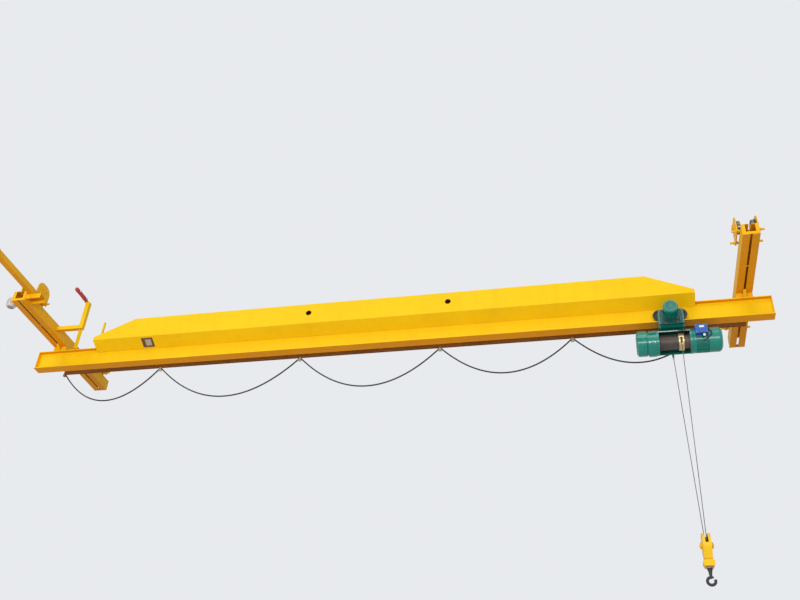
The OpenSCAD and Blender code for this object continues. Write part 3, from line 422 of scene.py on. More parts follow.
# Yokes: thick side plates cut from plate, tied below by two long threaded rods with washers, all sprayed
# with the crane. Each wheel axle is pressed in from outside and held by a small keeper plate with two
# screws.
# The yoke enamel takes painted shade on faces that look down.
yoke_paint = finish("yoke_enamel", (0.93, 0.51, 0.005), rough=(0.38, 0.52), tone=0.05, dust=0.4, grain=45,
                    bump=0.0004, streaks=0.12, underside_shade=0.8, sheen=0.25)
dress(yoke_paint, *["yoke_%s_%s" % (s, y) for s in ("left", "right") for y in ("near", "far")])
dull_zinc = finish("dull_zinc", (0.5, 0.49, 0.46), metal=0.8, rough=(0.4, 0.6), tone=0.15, dust=0.15,
                   rust=0.03, grain=180, bump=0.0003)
threads, keepers, washers = [], [], []
yoke_y = [middle("yoke_left_" + side)[1] for side in ("near", "far")]
tie_z, half_ties, axle_top = -0.072, 0.14, 0.127
plate_face, keeper_t, washer_x, thread_x = 0.183, 0.008, 0.1612, (0.19, 0.2372)
reach = np.arange(*thread_x, 0.0015)
thread = [(a, 0.0162 + 0.0008 * (k % 2)) for k, a in enumerate(reach)]
ring = [(washer_x, 0.028), (washer_x, 0.034), (washer_x + 0.003, 0.034), (washer_x + 0.003, 0.028)]
for x, y, s in ((x, y, s) for x in carriage_x for y in yoke_y for s in (-1, 1)):
    for v in (-half_ties, half_ties):
        threads.append(turned(thread, (x, y + v, tie_z), (s, 0, 0), 16))
        washers.append(turned(ring, (x, y + v, tie_z), (s, 0, 0), 24))
    keepers.append(slab(oblong(0.12, 0.034), 0, keeper_t, (x + s * plate_face, y, axle_top),
                        ((0, 1, 0), (0, 0, 1), (s, 0, 0))))
    screws = [(x + s * (plate_face + keeper_t), y + v, axle_top) for v in (-0.045, 0.045)]
    washers.append(studs(screws, (s, 0, 0), 0.009, 0.008))
piece("yoke_washers", together(washers), yoke_paint, "crane", smooth=False)
piece("tie_threads", together(threads), yoke_paint, "crane", smooth=False)
piece("axle_keepers", together(keepers), yoke_paint, "crane", smooth=False, bevel=0.0015)


# Wheels: turned from forged steel. The lip and web are dark and greasy, the tread is rolled bright, and the
# hub is bored for its stub axle. Each wheel stands for its CAD wheel and spins with it.
greasy = finish("greasy_steel", (0.03, 0.027, 0.026), metal=0.2, rough=(0.35, 0.6), tone=0.3, dust=0.25,
                rust=0.06, grain=70, bump=0.0008)
rolled = finish("rolled_tread", (0.2, 0.185, 0.17), metal=0.9, rough=(0.22, 0.38), tone=0.2, dust=0.0,
                grain=50, bump=0.0002, stretch=(1, 0.1, 0.1))


def wheel(node, centre, axis, tread_r, lip, lip_t, tread_w, bore, hub_w):
    """A wheel from its outer face inwards along axis: bore, recessed web between hub and rim, rounded lip,
    tread with a chamfer, and the same web behind. The tread's faces take the bright finish."""
    rim, hub = tread_r - 0.019, bore + 0.018
    outer = [(0, bore), (0, hub), (0.01, hub + 0.004), (0.014, rim - 0.006), (0.002, rim), (0, tread_r),
             (0.002, tread_r + lip - 0.002), (lip_t / 2, tread_r + lip),
             (lip_t - 0.002, tread_r + lip - 0.003)]
    tread = [(lip_t, tread_r + 0.002), (lip_t + 0.002, tread_r), (lip_t + tread_w - 0.003, tread_r)]
    back = [(lip_t + tread_w, tread_r - 0.003), (lip_t + tread_w, rim),
            (lip_t + tread_w - 0.009, rim - 0.006), (lip_t + tread_w - 0.009, hub + 0.004),
            (lip_t + tread_w + hub_w, hub), (lip_t + tread_w + hub_w, bore), (0, bore)]
    profile = outer + tread + back
    steps, tread_rows = 64, (9, 11)
    made = piece(node + "_turned", turned(profile, centre, axis, steps), greasy, node)
    made.data.materials.append(rolled)
    row = np.repeat(np.arange(len(profile) - 1), steps)
    on_tread = (row >= tread_rows[0]) & (row <= tread_rows[1])
    made.data.polygons.foreach_set("material_index", on_tread.astype(int))
    edge = made.modifiers.new("edge", "EDGE_SPLIT")
    edge.split_angle = math.radians(35)
    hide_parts(node)


for name in ["wheel_%s_%s_%s" % (x, y, k) for x in ("left", "right") for y in ("near", "far") for k in "ab"]:
    (inner, _, _), (outer, _, _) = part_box(name)
    _, y, z = middle(name)
    inward = 1 if name.endswith("a") else -1
    wheel(name, (inner if inward > 0 else outer, y, z), (inward, 0, 0), tread_r=0.105, lip=0.012, lip_t=0.012,
          tread_w=0.045, bore=0.0221, hub_w=0.006)


# Travel motor: a small upright motor with fins round its case and a fan cowl below, bolted through its foot
# to the left carriage's outer wall and painted pale grey.
pale_grey = finish("pale_grey_paint", (0.66, 0.6, 0.57), rough=(0.4, 0.6), tone=0.15, dust=0.35, rust=0.05,
                   grain=80, bump=0.001, streaks=0.3)
dress(pale_grey, "travel_motor")
(_, case_near, case_low), (_, case_far, _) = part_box("travel_motor")
case_r, stand_off = (case_far - case_near) / 2, 0.03
motor_at = np.array([-carriage_half - case_r - stand_off, (case_near + case_far) / 2, case_low])


def fin(foot_w, edge_w, rise, low, high, foot, out, axis):
    """A straight fin: its section is foot_w wide at foot and edge_w wide at rise above it along out, and is
    carried along axis from low to high."""
    section = [(-foot_w / 2, 0), (foot_w / 2, 0), (edge_w / 2, rise), (-edge_w / 2, rise)]
    return slab(section, low, high, foot, (np.cross(out, axis), out, axis))


def grille_rings(radii, width, rise, centre, axis, steps):
    """Raised rings round a fan's axis: each is a low trapezoid that starts at its radius and is turned
    once."""
    slant = 0.001
    return [turned([(0, r + width), (rise, r + width - slant), (rise, r + slant), (0, r)], centre, axis,
                   steps) for r in radii]


fin_count, pitch = 14, 2 * np.pi / 17
fins = []
for a in np.pi / 2 + (np.arange(fin_count) + 1.5) * pitch:
    out = np.array([np.sin(a), np.cos(a), 0])
    foot = motor_at + out * (case_r - 0.0015) + (0, 0, 0.085)
    fins.append(fin(0.004, 0.004, 0.008, -0.042, 0.042, foot, out, (0, 0, 1)))
piece("travel_motor_fins", together(fins), pale_grey, "crane", smooth=False, bevel=0.001)
bolts = [motor_at + (0.098, v, z) for v in (-0.034, 0.034) for z in (0.052, 0.118)]
cowl = [studs(bolts, (0, 0, 1), 0.007, 0.006)]
cowl.append(turned([(0.001, 0.05), (0.003, 0.05), (0.003, 0)], motor_at, (0, 0, -1), 32))
cowl += grille_rings((0.012, 0.022, 0.032, 0.042), 0.004, 0.001, motor_at - (0, 0, 0.0035), (0, 0, -1), 32)
piece("travel_motor_cowl", together(cowl), dull_zinc, "crane")


# Current collector: a welded frame of square tube with an arm, a post and a strut down to the beam, a thin
# post beyond it, and a head of red moulded arms with copper shoes and pale insulators.
dress(yellow, "collector_frame", "collector_far_post")
red_plastic = finish("red_moulding", (0.5, 0.025, 0.03), rough=(0.45, 0.6), tone=0.15, dust=0.3, grain=110,
                     bump=0.0005)
copper = finish("copper_shoe", (0.72, 0.33, 0.2), metal=0.9, rough=(0.3, 0.5), tone=0.25, dust=0.1,
                grain=60, bump=0.0003)
porcelain = finish("pale_insulator", (0.72, 0.7, 0.66), rough=(0.2, 0.35), tone=0.08, grain=40,
                   bump=0.0002)
dress(red_plastic, "collector_head")
shoe_at, head_top = 0.55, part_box("collector_head")[1][2]
shoe = [(-0.03, 0), (0.03, 0), (0.024, 0.012), (-0.024, 0.012)]
shoes = [slab(shoe, -0.009, 0.009, (shoe_at, y, head_top), ((0, 1, 0), (0, 0, 1), (1, 0, 0)))
         for y in (-0.8, -0.7, -0.6, -0.5)]
piece("collector_shoes", together(shoes), copper, "crane", smooth=False, bevel=0.001)
cap = [(0, 0), (0, 0.012), (0.004, 0.017), (0.008, 0.012), (0.012, 0.017), (0.016, 0.012), (0.02, 0.014),
       (0.022, 0)]
caps = [turned(cap, (shoe_at + s * 0.032, y, head_top - 0.025), (s, 0, 0), 20)
        for s in (-1, 1) for y in (-0.765, -0.525)]
piece("collector_insulators", together(caps), porcelain, "crane")
post_right, post_at, post_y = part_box("collector_frame")[1][0], 0.6, -0.45
post_w = 2 * (post_right - post_at)
post_near, arm_near = post_y - post_w / 2, post_y - 0.03
seams = [bead((x, post_near, -0.237), (x, post_near, -0.175), 0.004)
         for x in (post_right, post_right - post_w)]
seams.append(bead((0.275, -0.0705, beam_top), (0.335, -0.0705, beam_top)))
seams.append(bead((0.127, arm_near, -0.2355), (0.127, arm_near + 0.06, -0.2355)))
seams += [bead((x, 0.02, beam_top + 0.001), (x, flange_side, beam_top + 0.001), 0.004)
          for x in (0.645, 0.735)]
piece("collector_welds", together(seams), weld, "crane")


# Festoon: a pressed C rail in brown primer on bent straps, a zinc carrier at each loop, and the flat black
# cable, which hangs in even loops between the carriers.
brown = finish("brown_primer", (0.36, 0.135, 0.035), rough=(0.5, 0.7), tone=0.18, dust=0.3, rust=0.06,
               grain=100, bump=0.0006, streaks=0.3)
zinc = finish("carrier_zinc", (0.66, 0.64, 0.58), metal=0.7, rough=(0.35, 0.55), tone=0.12, dust=0.1,
              rust=0.02, grain=150, bump=0.0003)
dress(brown, "festoon_track")
dress(yellow, "festoon_hangers")
dress(zinc, "carrier_1", "carrier_2", "carrier_3", "carrier_4")
span_middle, beam_foot = middle("beam_bottom_flange")[0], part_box("beam_bottom_flange")[0][2]
strap_w, strap_t = 0.04, 0.0086
(_, strap_face, _), (last_strap, _, _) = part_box("festoon_hangers")
strap_pitch = (last_strap - strap_w / 2 - span_middle) / 3
places = [(span_middle + k * strap_pitch, strap_face + strap_t, beam_foot + z)
          for k in range(-3, 4) for z in (0.18, 0.4)]
piece("strap_bolts", studs(places, (0, 1, 0), 0.009, 0.008), dull_zinc, "crane", smooth=False)
black = finish("cable_sheath", (0.012, 0.012, 0.013), rough=(0.45, 0.6), tone=0.2, dust=0.08, grain=260,
               bump=0.0004)


def swept(route, across, half_w, half_h, sides=16, power=1.0):
    """A cord of oval section along a route: at each point the tangent comes from its neighbours, one half
    width runs along the across direction and the other half at right angles to both. A power under 1
    squares the oval."""
    route = np.array(route, float)
    tangent = np.gradient(route, axis=0)
    tangent /= np.linalg.norm(tangent, axis=1)[:, None]
    first = np.cross(tangent, across)
    first /= np.linalg.norm(first, axis=1)[:, None]
    second = np.cross(first, tangent)
    a = np.arange(sides) * 2 * np.pi / sides
    c, s = np.cos(a), np.sin(a)
    c, s = np.sign(c) * np.abs(c) ** power, np.sign(s) * np.abs(s) ** power
    high, wide = half_h * c[None, :, None] * first[:, None], half_w * s[None, :, None] * second[:, None]
    points = route[:, None] + high + wide
    faces = [f[::-1] for f in grid_faces(len(route), sides)]
    last = (len(route) - 1) * sides
    faces += [list(range(sides)), list(range(last, last + sides))[::-1]]
    return points.reshape(-1, 3), faces


cable_top, saddle, cable_y = 0.0393, 0.0413, 0.29
stops = [-5.96, -4.07, -1.433, 1.053, 3.271, 5.33]
sags = [0.6, 0.66, 0.64, 0.56, 0.54]
leaves = math.radians(46)
side, fall = saddle * math.sin(leaves), saddle * (1 - math.cos(leaves))
route = []
for k, sag in enumerate(sags):
    from_saddle, to_saddle = k > 0, k < len(sags) - 1
    x0, x1 = stops[k] + side * from_saddle, stops[k + 1] - side * to_saddle
    z0, z1 = cable_top - fall * from_saddle, cable_top - fall * to_saddle
    t = np.linspace(0, 1, 49)
    route += list(zip(x0 + (x1 - x0) * t, z0 + (z1 - z0) * t - 4 * (sag - fall) * t * (1 - t)))
    if to_saddle:
        a = np.radians([-35, -23, -11.5, 0, 11.5, 23, 35])
        route += list(zip(stops[k + 1] + saddle * np.sin(a), cable_top - saddle * (1 - np.cos(a))))
route = [(span_middle + x, cable_y, beam_foot + z) for x, z in route]
cable = piece("festoon_flat_cable", swept(route, (0, 1, 0), 0.0118, 0.0105, 16, 0.6), black, "crane")
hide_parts("festoon_cable")
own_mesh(cable)


# Trolley: two plate sides on four wheels, joined under the beam by a base plate. The near side carries a cast
# gearcase with a bolted cover and the drive motor, whose ribbed end faces out. All is sprayed in teal enamel.
teal = finish("teal_enamel", (0.003, 0.235, 0.175), rough=(0.14, 0.26), tone=0.14, grain=30,
              bump=0.0003, streaks=0.3, sheen=0.6)
dress(teal, "trolley_near", "trolley_far", "trolley_base", "trolley_gearcase", "trolley_drive", "tow_arm")
for row, s in (("near", -1), ("far", 1)):
    for name in ("trolley_wheel_%s_left" % row, "trolley_wheel_%s_right" % row):
        x, _, z = middle(name)
        (_, near, _), (_, far, _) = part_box(name)
        wheel(name, (x, near if s < 0 else far, z), (0, -s, 0), tread_r=0.095, lip=0.012, lip_t=0.012,
              tread_w=0.042, bore=0.0171, hub_w=0)
facing_front = ((1, 0, 0), (0, 0, 1), (0, -1, 0))
(_, front, low), (_, _, top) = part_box("trolley_gearcase")
cx = middle("trolley_gearcase")[0]
half_w, cover_t = 0.173, 0.007
rim = [(-0.155, low + 0.02), (0.155, low + 0.02), (half_w, low + 0.04), (half_w, top - 0.05),
       (0.145, top - 0.016), (-0.145, top - 0.016), (-half_w, top - 0.05), (-half_w, low + 0.04)]
cover = [slab(rim, 0, cover_t, (cx, front, 0), facing_front)]
cover += [fin(0.008, 0.006, 0.024, low + 0.03, low + 0.12, (cx + u, front - 0.006, 0), (0, -1, 0), (0, 0, 1))
          for u in (-0.12, -0.06, 0.0, 0.06, 0.12)]
boss = [(0, 0.034), (0.012, 0.034), (0.016, 0.03), (0.016, 0)]
cover += [turned(boss, (cx + u, front - 0.006, low + 0.105), (0, -1, 0), 32) for u in (-0.09, 0.09)]
cover.append(slab(oblong(0.4, 0.014), 0, 0.03, (cx, front + 0.02, low + 0.007), facing_front))
oily_teal = finish("oily_teal", (0.008, 0.085, 0.068), rough=(0.25, 0.45), tone=0.25, grain=75, bump=0.0009,
                   streaks=0.3)
piece("gearcase_cover", together(cover), oily_teal, "trolley", smooth=False, bevel=0.002)
bolts = [(cx + u, front - cover_t, low + 0.03) for u in (-0.135, -0.045, 0.045, 0.135)]
bolts += [(cx + u, front - cover_t, low + w) for u in (-0.164, 0.164) for w in (0.09, 0.17)]
bolts += [(cx + u, front - cover_t, top - 0.035) for u in (-0.13, 0.13)]
piece("gearcase_bolts", studs(bolts, (0, -1, 0), 0.008, 0.008), oily_teal, "trolley",
      smooth=False)
(_, tip, _), (_, root, _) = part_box("trolley_drive")
drive_x, _, drive_z = middle("trolley_drive")
fins = []
for a in np.arange(28) * 2 * np.pi / 28:
    out = np.array([np.cos(a), 0, np.sin(a)])
    foot = np.array([drive_x, root, drive_z]) + out * 0.1065
    fins.append(fin(0.0036, 0.0024, 0.0085, 0.018, 0.128, foot, out, (0, -1, 0)))
piece("drive_fins", together(fins), teal, "trolley", smooth=False)
# The drive's grille is raised rings in near-black paint: painted shade for the dark vent slots of its fan
# cowl.
dark = finish("painted_slot_shade", (0.01, 0.012, 0.012), rough=(0.6, 0.8), tone=0.2, grain=90, bump=0.0004)
rings = grille_rings((0.022, 0.036, 0.05, 0.064, 0.078), 0.005, 0.0012, (drive_x, tip, drive_z), (0, -1, 0),
                     40)
piece("drive_grille", together(rings), dark, "trolley")
axle_z, axle_end = middle("trolley_wheel_far_left")[2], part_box("trolley_far")[1][1]
nuts = studs([(cx + u, axle_end, axle_z) for u in (-0.16, 0.16)], (0, 1, 0), 0.018, 0.012)
piece("trolley_axle_nuts", nuts, dull_zinc, "trolley", smooth=False)
base_welds = mirrored((cx - 0.19, 0.1165, -0.915), (cx + 0.19, 0.1165, -0.915))
piece("trolley_welds", together(base_welds), teal, "trolley")


# Hoist: a gearbox and a motor bolted to the ends of a rolled housing that is open in front of the drum. The
# gearbox has raised covers, the motor long fins and a round cowl, and a pale bar stiffens the opening's edge.
dress(teal, "hoist_gearbox", "hoist_motor", "hoist_shell")
pale = finish("pale_bar", (0.66, 0.67, 0.64), metal=0.2, rough=(0.3, 0.5), tone=0.1, rust=0.02,
              grain=120, bump=0.0004)
dress(pale, "hoist_bar")
axis_y, axis_z = 0.0, -1.12
on_axis, flange, left_end = np.array([0, axis_y, axis_z]), 10.592, 10.274


def across_hoist(a):
    """The direction at right angles to the hoist's axis at angle a, which is 0 towards the back and a
    quarter turn upwards."""
    return np.array([0, math.cos(a), math.sin(a)])


raised, cover_foot, cover_edge = [], 0.184, 0.004
for start, sweep, x0, x1, face_r in ((196, 118, 10.445, 10.566, 0.2085), (75, 112, 10.288, 10.43, 0.208),
                                     (60, 100, 10.455, 10.566, 0.205)):
    start, sweep, width = math.radians(start), math.radians(sweep), x1 - x0
    shape = [(0, cover_foot), (0, face_r - cover_edge), (cover_edge, face_r), (width - cover_edge, face_r),
             (width, face_r - cover_edge), (width, cover_foot)]
    raised.append(turned(shape, (x0, axis_y, axis_z), (1, 0, 0), 40, start - math.pi, sweep))
    closing = [(0, cover_foot), (width, cover_foot), (width, face_r), (0, face_r)]
    for out in (across_hoist(start), across_hoist(start + sweep)):
        raised.append(slab(closing, -0.001, 0.001, (x0, axis_y, axis_z),
                           ((1, 0, 0), out, np.cross((1, 0, 0), out))))
hub = [(-0.001, 0.09), (0.008, 0.09), (0.011, 0.085), (0.011, 0)]
raised.append(turned(hub, on_axis + (left_end, 0, 0), (-1, 0, 0), 48))
for a in np.arange(6) * np.pi / 3 + 0.3:
    foot = on_axis + (left_end, 0, 0) + 0.085 * across_hoist(a)
    raised.append(fin(0.008, 0.006, 0.08, -0.009, 0.002, foot, across_hoist(a), (1, 0, 0)))
piece("gearbox_covers", together(raised), teal, "trolley", smooth=False, bevel=0.0015)


def around(x, radius, count, shift=0.0):
    """Places evenly spread on a circle round the hoist's axis at x."""
    return [on_axis + (x, 0, 0) + radius * across_hoist(a)
            for a in np.arange(count) * 2 * np.pi / count + shift]


cover_tilt, cover_r, motor_flange = 0.45, 0.2085, 11.111
cover_bolts = [(x, -cover_r * math.cos(cover_tilt), axis_z - cover_r * math.sin(cover_tilt))
               for x in (10.465, 10.545)]
bolts = [studs(around(flange - 0.022, 0.1925, 16, 0.1), (-1, 0, 0), 0.0055, 0.007),
         studs(around(left_end - 0.0005, 0.145, 9), (-1, 0, 0), 0.007, 0.007),
         studs(around(left_end - 0.011, 0.07, 6), (-1, 0, 0), 0.006, 0.005),
         studs(cover_bolts, (0, -0.9, -0.435), 0.008, 0.007),
         studs(around(motor_flange, 0.1905, 12, 0.2), (1, 0, 0), 0.006, 0.006)]
piece("hoist_bolts", together(bolts), dull_zinc, "trolley", smooth=False)
fin_left, fin_right, fin_foot = 11.159, 11.342, 0.1765
fins = [fin(0.011, 0.008, 0.019, fin_left, fin_right, on_axis + fin_foot * across_hoist(a), across_hoist(a),
            (1, 0, 0)) for a in np.radians(np.arange(5, 365, 10))]
piece("motor_fins", together(fins), teal, "trolley", smooth=False)
motor_end = on_axis + (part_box("hoist_motor")[1][0], 0, 0)
# Near-black rings on the motor's end are painted shade for the cowl's vent slots, with a thin band of the
# same painted shade just past the fins.
cowl = grille_rings((0.03, 0.048, 0.066, 0.084, 0.102, 0.12, 0.136), 0.005, 0.0012, motor_end, (1, 0, 0), 48)
band = [(0, 0.1945), (0, 0.1962), (0.004, 0.1962), (0.004, 0.1945)]
cowl.append(turned(band, on_axis + (fin_right + 0.003, 0, 0), (1, 0, 0), 64))
piece("motor_grille", together(cowl), dark, "trolley")


# Control box: pressed steel in blue enamel on the motor's upper front, with a lid on four screws, a bare
# pale label, and a black gland below with a white plug. Two black leads are clipped down, one round the motor
# and one along the housing.
blue = finish("blue_enamel", (0.008, 0.1, 0.42), rough=(0.25, 0.42), tone=0.12, dust=0.3, grain=110,
              bump=0.0005)
white = finish("white_label", (0.78, 0.78, 0.77), rough=(0.35, 0.5), tone=0.04, dust=0.1, grain=60,
               bump=0.0001)
dress(blue, "control_box")
(box_x0, box_front, box_z0), (box_x1, _, box_z1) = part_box("control_box")
bx, _, bz = middle("control_box")
lid_t, lip = 0.008, 0.006
lid = slab(oblong(box_x1 - box_x0 + lip, box_z1 - box_z0 + lip), 0, lid_t, (bx, box_front, bz), facing_front)
piece("control_lid", lid, blue, "trolley", smooth=False, bevel=0.003)
label = slab(oblong(0.072, 0.036), 0, 0.0012, (bx + 0.006, box_front - lid_t, bz + 0.035), facing_front)
plug_shape = [(0, 0.019), (0.004, 0.021), (0.02, 0.02), (0.024, 0.014), (0.024, 0)]
down_front = (0, -0.8, -0.6)
plug = turned(plug_shape, (bx + 0.03, box_front - 0.006, box_z0 - 0.044), down_front, 28)
piece("control_label", together([label, plug]), white, "trolley", smooth=False)
plug_gland = [(0, 0.024), (0.03, 0.024), (0.034, 0.02), (0.034, 0)]
lead_gland = [(0, 0.018), (0.02, 0.018), (0.024, 0.012), (0.024, 0)]
leads = [turned(plug_gland, (bx + 0.03, box_front + 0.03, box_z0 - 0.014), down_front, 28),
         turned(lead_gland, (box_x1, box_front + 0.05, bz + 0.02), (1, 0, 0), 20)]


def clipped(route, radius):
    """Lifts a lead's route off the hoist's axis wherever it lies nearer to it than radius."""
    off = np.hypot(route[:, 1], route[:, 2] - axis_z)
    route[:, 1:] = (route[:, 1:] - (axis_y, axis_z)) * np.maximum(1, radius / off)[:, None] + (axis_y, axis_z)
    return route


t = np.linspace(0, 1, 40)
swing = np.sin(np.pi * t)
motor_lead = np.stack([box_x1 + 0.02 + 0.075 * swing - 0.09 * t, -0.2075 - 0.013 * swing,
                       bz + 0.02 - 0.2 * t], 1)
leads.append(swept(clipped(motor_lead, 0.2035), (1, 0.2, 0), 0.0075, 0.0075, 12))
t = np.linspace(0, 1, 30)
feed = np.stack([box_x0 + 0.01 - 0.27 * t, -0.19 + 0.02 * t, box_z1 - 0.035 + 0.01 * np.sin(6 * t)], 1)
leads.append(swept(clipped(feed, 0.2135), (0, 1, 0.2), 0.007, 0.007, 12))
piece("control_leads", together(leads), black, "trolley")
edge_in = 0.01
corners = oblong(box_x1 - box_x0 - 2 * edge_in, box_z1 - box_z0 - 2 * edge_in)
screws = [(bx + u, box_front - lid_t, bz + w) for u, w in corners]
piece("control_screws", studs(screws, (0, -1, 0), 0.006, 0.004, domed=True), dull_zinc, "trolley")


# Drum and rope guide: a cast drum with turned rope grooves between two collars, full of rope for two thirds
# of its length, and a brass guide ring in halves with a slot for the rope. The drum turns as the hook
# lifts.
cast = finish("drum_casting", (0.16, 0.1, 0.085), metal=0.3, rough=(0.4, 0.6), tone=0.2, dust=0.05,
              rust=0.08, grain=90, bump=0.0006)
rope_steel = finish("rope_wire", (0.2, 0.175, 0.155), metal=0.6, rough=(0.35, 0.55), tone=0.3, dust=0.0,
                    rust=0.05, grain=350, bump=0.0004)
brass = finish("guide_brass", (0.72, 0.6, 0.3), metal=0.75, rough=(0.25, 0.42), tone=0.14, dust=0.0, grain=60,
               bump=0.0004)
drum_left, drum_right, rope_pitch = 10.598, 11.081, 0.0132
collar_r, barrel_r, bore_r = 0.137, 0.1142, 0.05
t = np.arange(drum_left + 0.014, drum_right - 0.014, rope_pitch / 8)
groove = barrel_r - 0.0024 * np.abs(np.cos(np.pi * (t - drum_left) / rope_pitch))
collar = [(0, bore_r), (0, collar_r), (0.012, collar_r), (0.014, 0.131), (0.0142, barrel_r)]
profile = [(drum_left + x, r) for x, r in collar] + list(zip(t, groove))
profile += [(drum_right - x, r) for x, r in collar[::-1]]
drum = piece("grooved_drum", turned(profile, on_axis, (1, 0, 0), 56), cast, "rope_drum")
shaft_r, shaft_out = 0.049, 0.0055
shaft = [(drum_left - shaft_out, 0), (drum_left - shaft_out, shaft_r), (drum_right + shaft_out, shaft_r),
         (drum_right + shaft_out, 0)]
collar_bolts = studs(around(drum_left - 0.0005, 0.12, 6), (-1, 0, 0), 0.008, 0.004)
piece("drum_shaft", together([turned(shaft, on_axis, (1, 0, 0), 32), collar_bolts]), cast, "rope_drum",
      smooth=False)
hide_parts("rope_drum")
turns, coil_r, wire_r = 22, 0.1195, 0.0056
a = np.linspace(0, 2 * np.pi * turns, turns * 20 + 1)
coil = np.stack([drum_left + 0.025 + rope_pitch * a / (2 * np.pi), axis_y + coil_r * np.cos(a),
                 axis_z + coil_r * np.sin(a)], 1)
piece("rope_turns", swept(coil, (1, 0, 0), wire_r, wire_r, 8), rope_steel, "rope_drum")
dress(brass, "rope_guide")
gx = middle("rope_guide")[0]
rib = [(0.028, 0.139), (0.028, 0.1425), (0.036, 0.1425), (0.036, 0.139)]
ring = [turned(rib, on_axis + (gx, 0, 0), (s, 0, 0), 56) for s in (-1, 1)]
piece("guide_ribs", together(ring), brass, "trolley", smooth=False)


# Rope falls: six-strand wire rope from the drum's near side, round the sheave, and up to the lug behind.
# The strands' lay is a six-lobed section that turns once in seventy millimetres. It is cut in eight
# lengths at heights spaced by an easing curve between the drum and the sheave.
hx, _, hz = middle("sheave")
wrap_r = 0.1213
turn = np.radians(np.arange(0, 181, 3))
near = np.linspace(0, 1, 430)[:-1, None]
start, end = np.array([gx, -wrap_r, axis_z]), np.array([hx, -wrap_r, hz])
bend = np.stack([np.full_like(turn, hx), -wrap_r * np.cos(turn), hz - wrap_r * np.sin(turn)], 1)
lug = np.array([10.81, 0.124, -1.316])
behind = bend[-1] + (lug - bend[-1]) * np.linspace(0, 1, 431)[1:, None]
route = np.concatenate([start + (end - start) * near, bend, behind])
tangent = np.gradient(route, axis=0)
tangent /= np.linalg.norm(tangent, axis=1)[:, None]
first = np.cross(tangent, (1, 0, 0))
first /= np.linalg.norm(first, axis=1)[:, None]
second = np.cross(first, tangent)
run = np.concatenate([[0], np.cumsum(np.linalg.norm(np.diff(route, axis=0), axis=1))])
lay, sides = 0.07, 12
around_rope = np.arange(sides) * 2 * np.pi / sides
a = around_rope + (run * 2 * np.pi / lay)[:, None]
lobe = (0.0053 + 0.0006 * np.cos(6 * around_rope))[None, :, None]
turning = np.cos(a)[..., None] * first[:, None] + np.sin(a)[..., None] * second[:, None]
points = route[:, None] + lobe * turning
shares = [0.0, 0.03, 0.12, 0.3, 0.5, 0.7, 0.88, 0.97, 1.0]
top_z, low_z = -1.33, hz + 0.055


def strands(first_row, last_row):
    """The rope's mesh from one row of the route to another, with a cap on each end."""
    rows = last_row - first_row + 1
    faces = [f[::-1] for f in grid_faces(rows, sides)]
    faces += [list(range(sides)), list(range((rows - 1) * sides, rows * sides))[::-1]]
    return points[first_row:last_row + 1].reshape(-1, 3), faces


def eased(share):
    """The place between 0 and 1 at which a curve that eases in and out, 3 t squared less 2 t cubed, reaches
    share."""
    return 0.5 - math.sin(math.asin(1 - 2 * share) / 3)


last = len(route) - 1
for k, (low_share, high_share) in enumerate(zip(shares, shares[1:])):
    z0, z1 = (top_z + (low_z - top_z) * v for v in (low_share, high_share))
    t0, t1 = eased(low_share), eased(high_share)
    pitch = (z1 - z0) / (t1 - t0)
    going_down, coming_up = route[:, 2], route[::-1, 2]
    down = [0 if k == 0 else int(np.argmax(going_down <= z0)), int(np.argmax(going_down <= z1))]
    back = [last - int(np.argmax(coming_up <= z1)),
            last if k == 0 else last - int(np.argmax(coming_up <= z0))]
    round_sheave = high_share == 1.0
    mesh = strands(down[0], back[1]) if round_sheave else together([strands(*down), strands(*back)])
    rope = bpy.data.objects.new("rope_strands_%d" % (k + 1), bpy.data.meshes.new("rope_strands"))
    rope.data.from_pydata(np.asarray(mesh[0]).tolist(), [], mesh[1])
    rope.data.materials.append(rope_steel)
    rope.data.polygons.foreach_set("use_smooth", [True] * len(rope.data.polygons))
    bpy.context.scene.collection.objects.link(rope)
    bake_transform(rope)
    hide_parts("rope_falls")
socket = [(0, 0.011), (0.002, 0.013), (0.034, 0.013), (0.036, 0.011), (0.036, 0.006)]
piece("rope_socket", turned(socket, lug - (0, 0, 0.034), (0, 0, 1), 16), dull_zinc, "trolley")


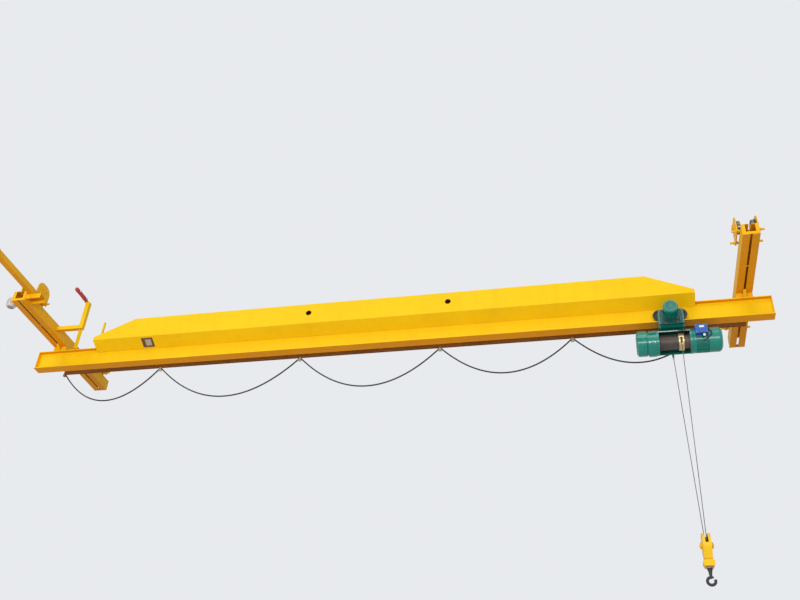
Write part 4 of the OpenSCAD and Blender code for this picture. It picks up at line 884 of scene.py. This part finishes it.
# Hook block: two cheeks of thick plate round the sheave, bolted at their corners, a cap and a nut on each
# end of the sheave's pin, and a crosshead welded below, all in yellow enamel. The sheave is dark and
# greasy.
# The block enamel takes painted shade on faces that look down.
block_paint = finish("block_enamel", (0.97, 0.57, 0.004), rough=(0.35, 0.5), tone=0.08, dust=0.3, grain=160,
                     streaks=0.2, underside_shade=0.6, sheen=0.35)
dress(block_paint, "hook_block")
dress(greasy, "sheave")
block_bottom, pin_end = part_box("hook_block")[0][2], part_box("hook_block")[1][0] - hx
cheek, cross_z, cap_t = 0.056, block_bottom + 0.055, 0.003
pin_cap = [(-0.006, 0.044), (0, 0.044), (cap_t, 0.04), (cap_t, 0)]
parts, caps = [], []
for s in (-1, 1):
    caps.append(turned(pin_cap, (hx + s * pin_end, 0, hz), (s, 0, 0), 32))
    caps.append(studs([(hx + s * (pin_end + cap_t), 0, hz)], (s, 0, 0), 0.02, 0.01))
    corners = [(hx + s * cheek, v, w) for v in (-0.09, 0.09) for w in (hz - 0.07, hz + 0.08)]
    parts.append(studs(corners, (s, 0, 0), 0.009, 0.007))
    parts.append(studs([(hx + u, s * 0.065, cross_z) for u in (-0.055, 0.055)], (0, s, 0), 0.008, 0.006))
piece("block_fasteners", together(parts), block_paint, "hook_block", smooth=False)
piece("pin_nuts", together(caps), block_paint, "hook_block", smooth=False)
seams = mirrored((hx - 0.05, 0.0605, hz - 0.202), (hx + 0.05, 0.0605, hz - 0.202), 0.004)
piece("block_welds", together(seams), weld, "hook_block")


# Hook: forged steel, oiled dark, with a thrust collar under the crosshead, and a spring latch of bright
# pressed steel with its coil spring on the pin.
forged = finish("forged_hook", (0.04, 0.036, 0.034), metal=0.4, rough=(0.35, 0.55), tone=0.25, dust=0.1,
                rust=0.03, grain=60, bump=0.0008)
dress(forged, "hook")
dress(zinc, "hook_latch")
bowl_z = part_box("hook")[0][2] + 0.0725
coils, coil_r, wire_r, first_y, coil_pitch = 2.5, 0.0072, 0.0007, 0.0104, 0.0016
pin_x, pin_z = hx + 0.028, bowl_z + 0.0475
a = np.linspace(0, 2 * np.pi * coils, 40)
coil_x, coil_z = pin_x + coil_r * np.cos(a), pin_z + coil_r * np.sin(a)
coil_y = first_y - coil_pitch * a / (2 * np.pi)
spring = [swept(np.stack([coil_x, s * coil_y, coil_z], 1), (0, 1, 0), wire_r, wire_r, 6) for s in (-1, 1)]
piece("latch_spring", together(spring), dull_zinc, "hook_latch")
collar = [(0, 0.0385), (0, 0.041), (0.002, 0.042), (0.012, 0.042), (0.014, 0.041), (0.014, 0.0385)]
piece("thrust_collar", turned(collar, (hx, 0, block_bottom - 0.018), (0, 0, 1), 40), dull_zinc, "hook")
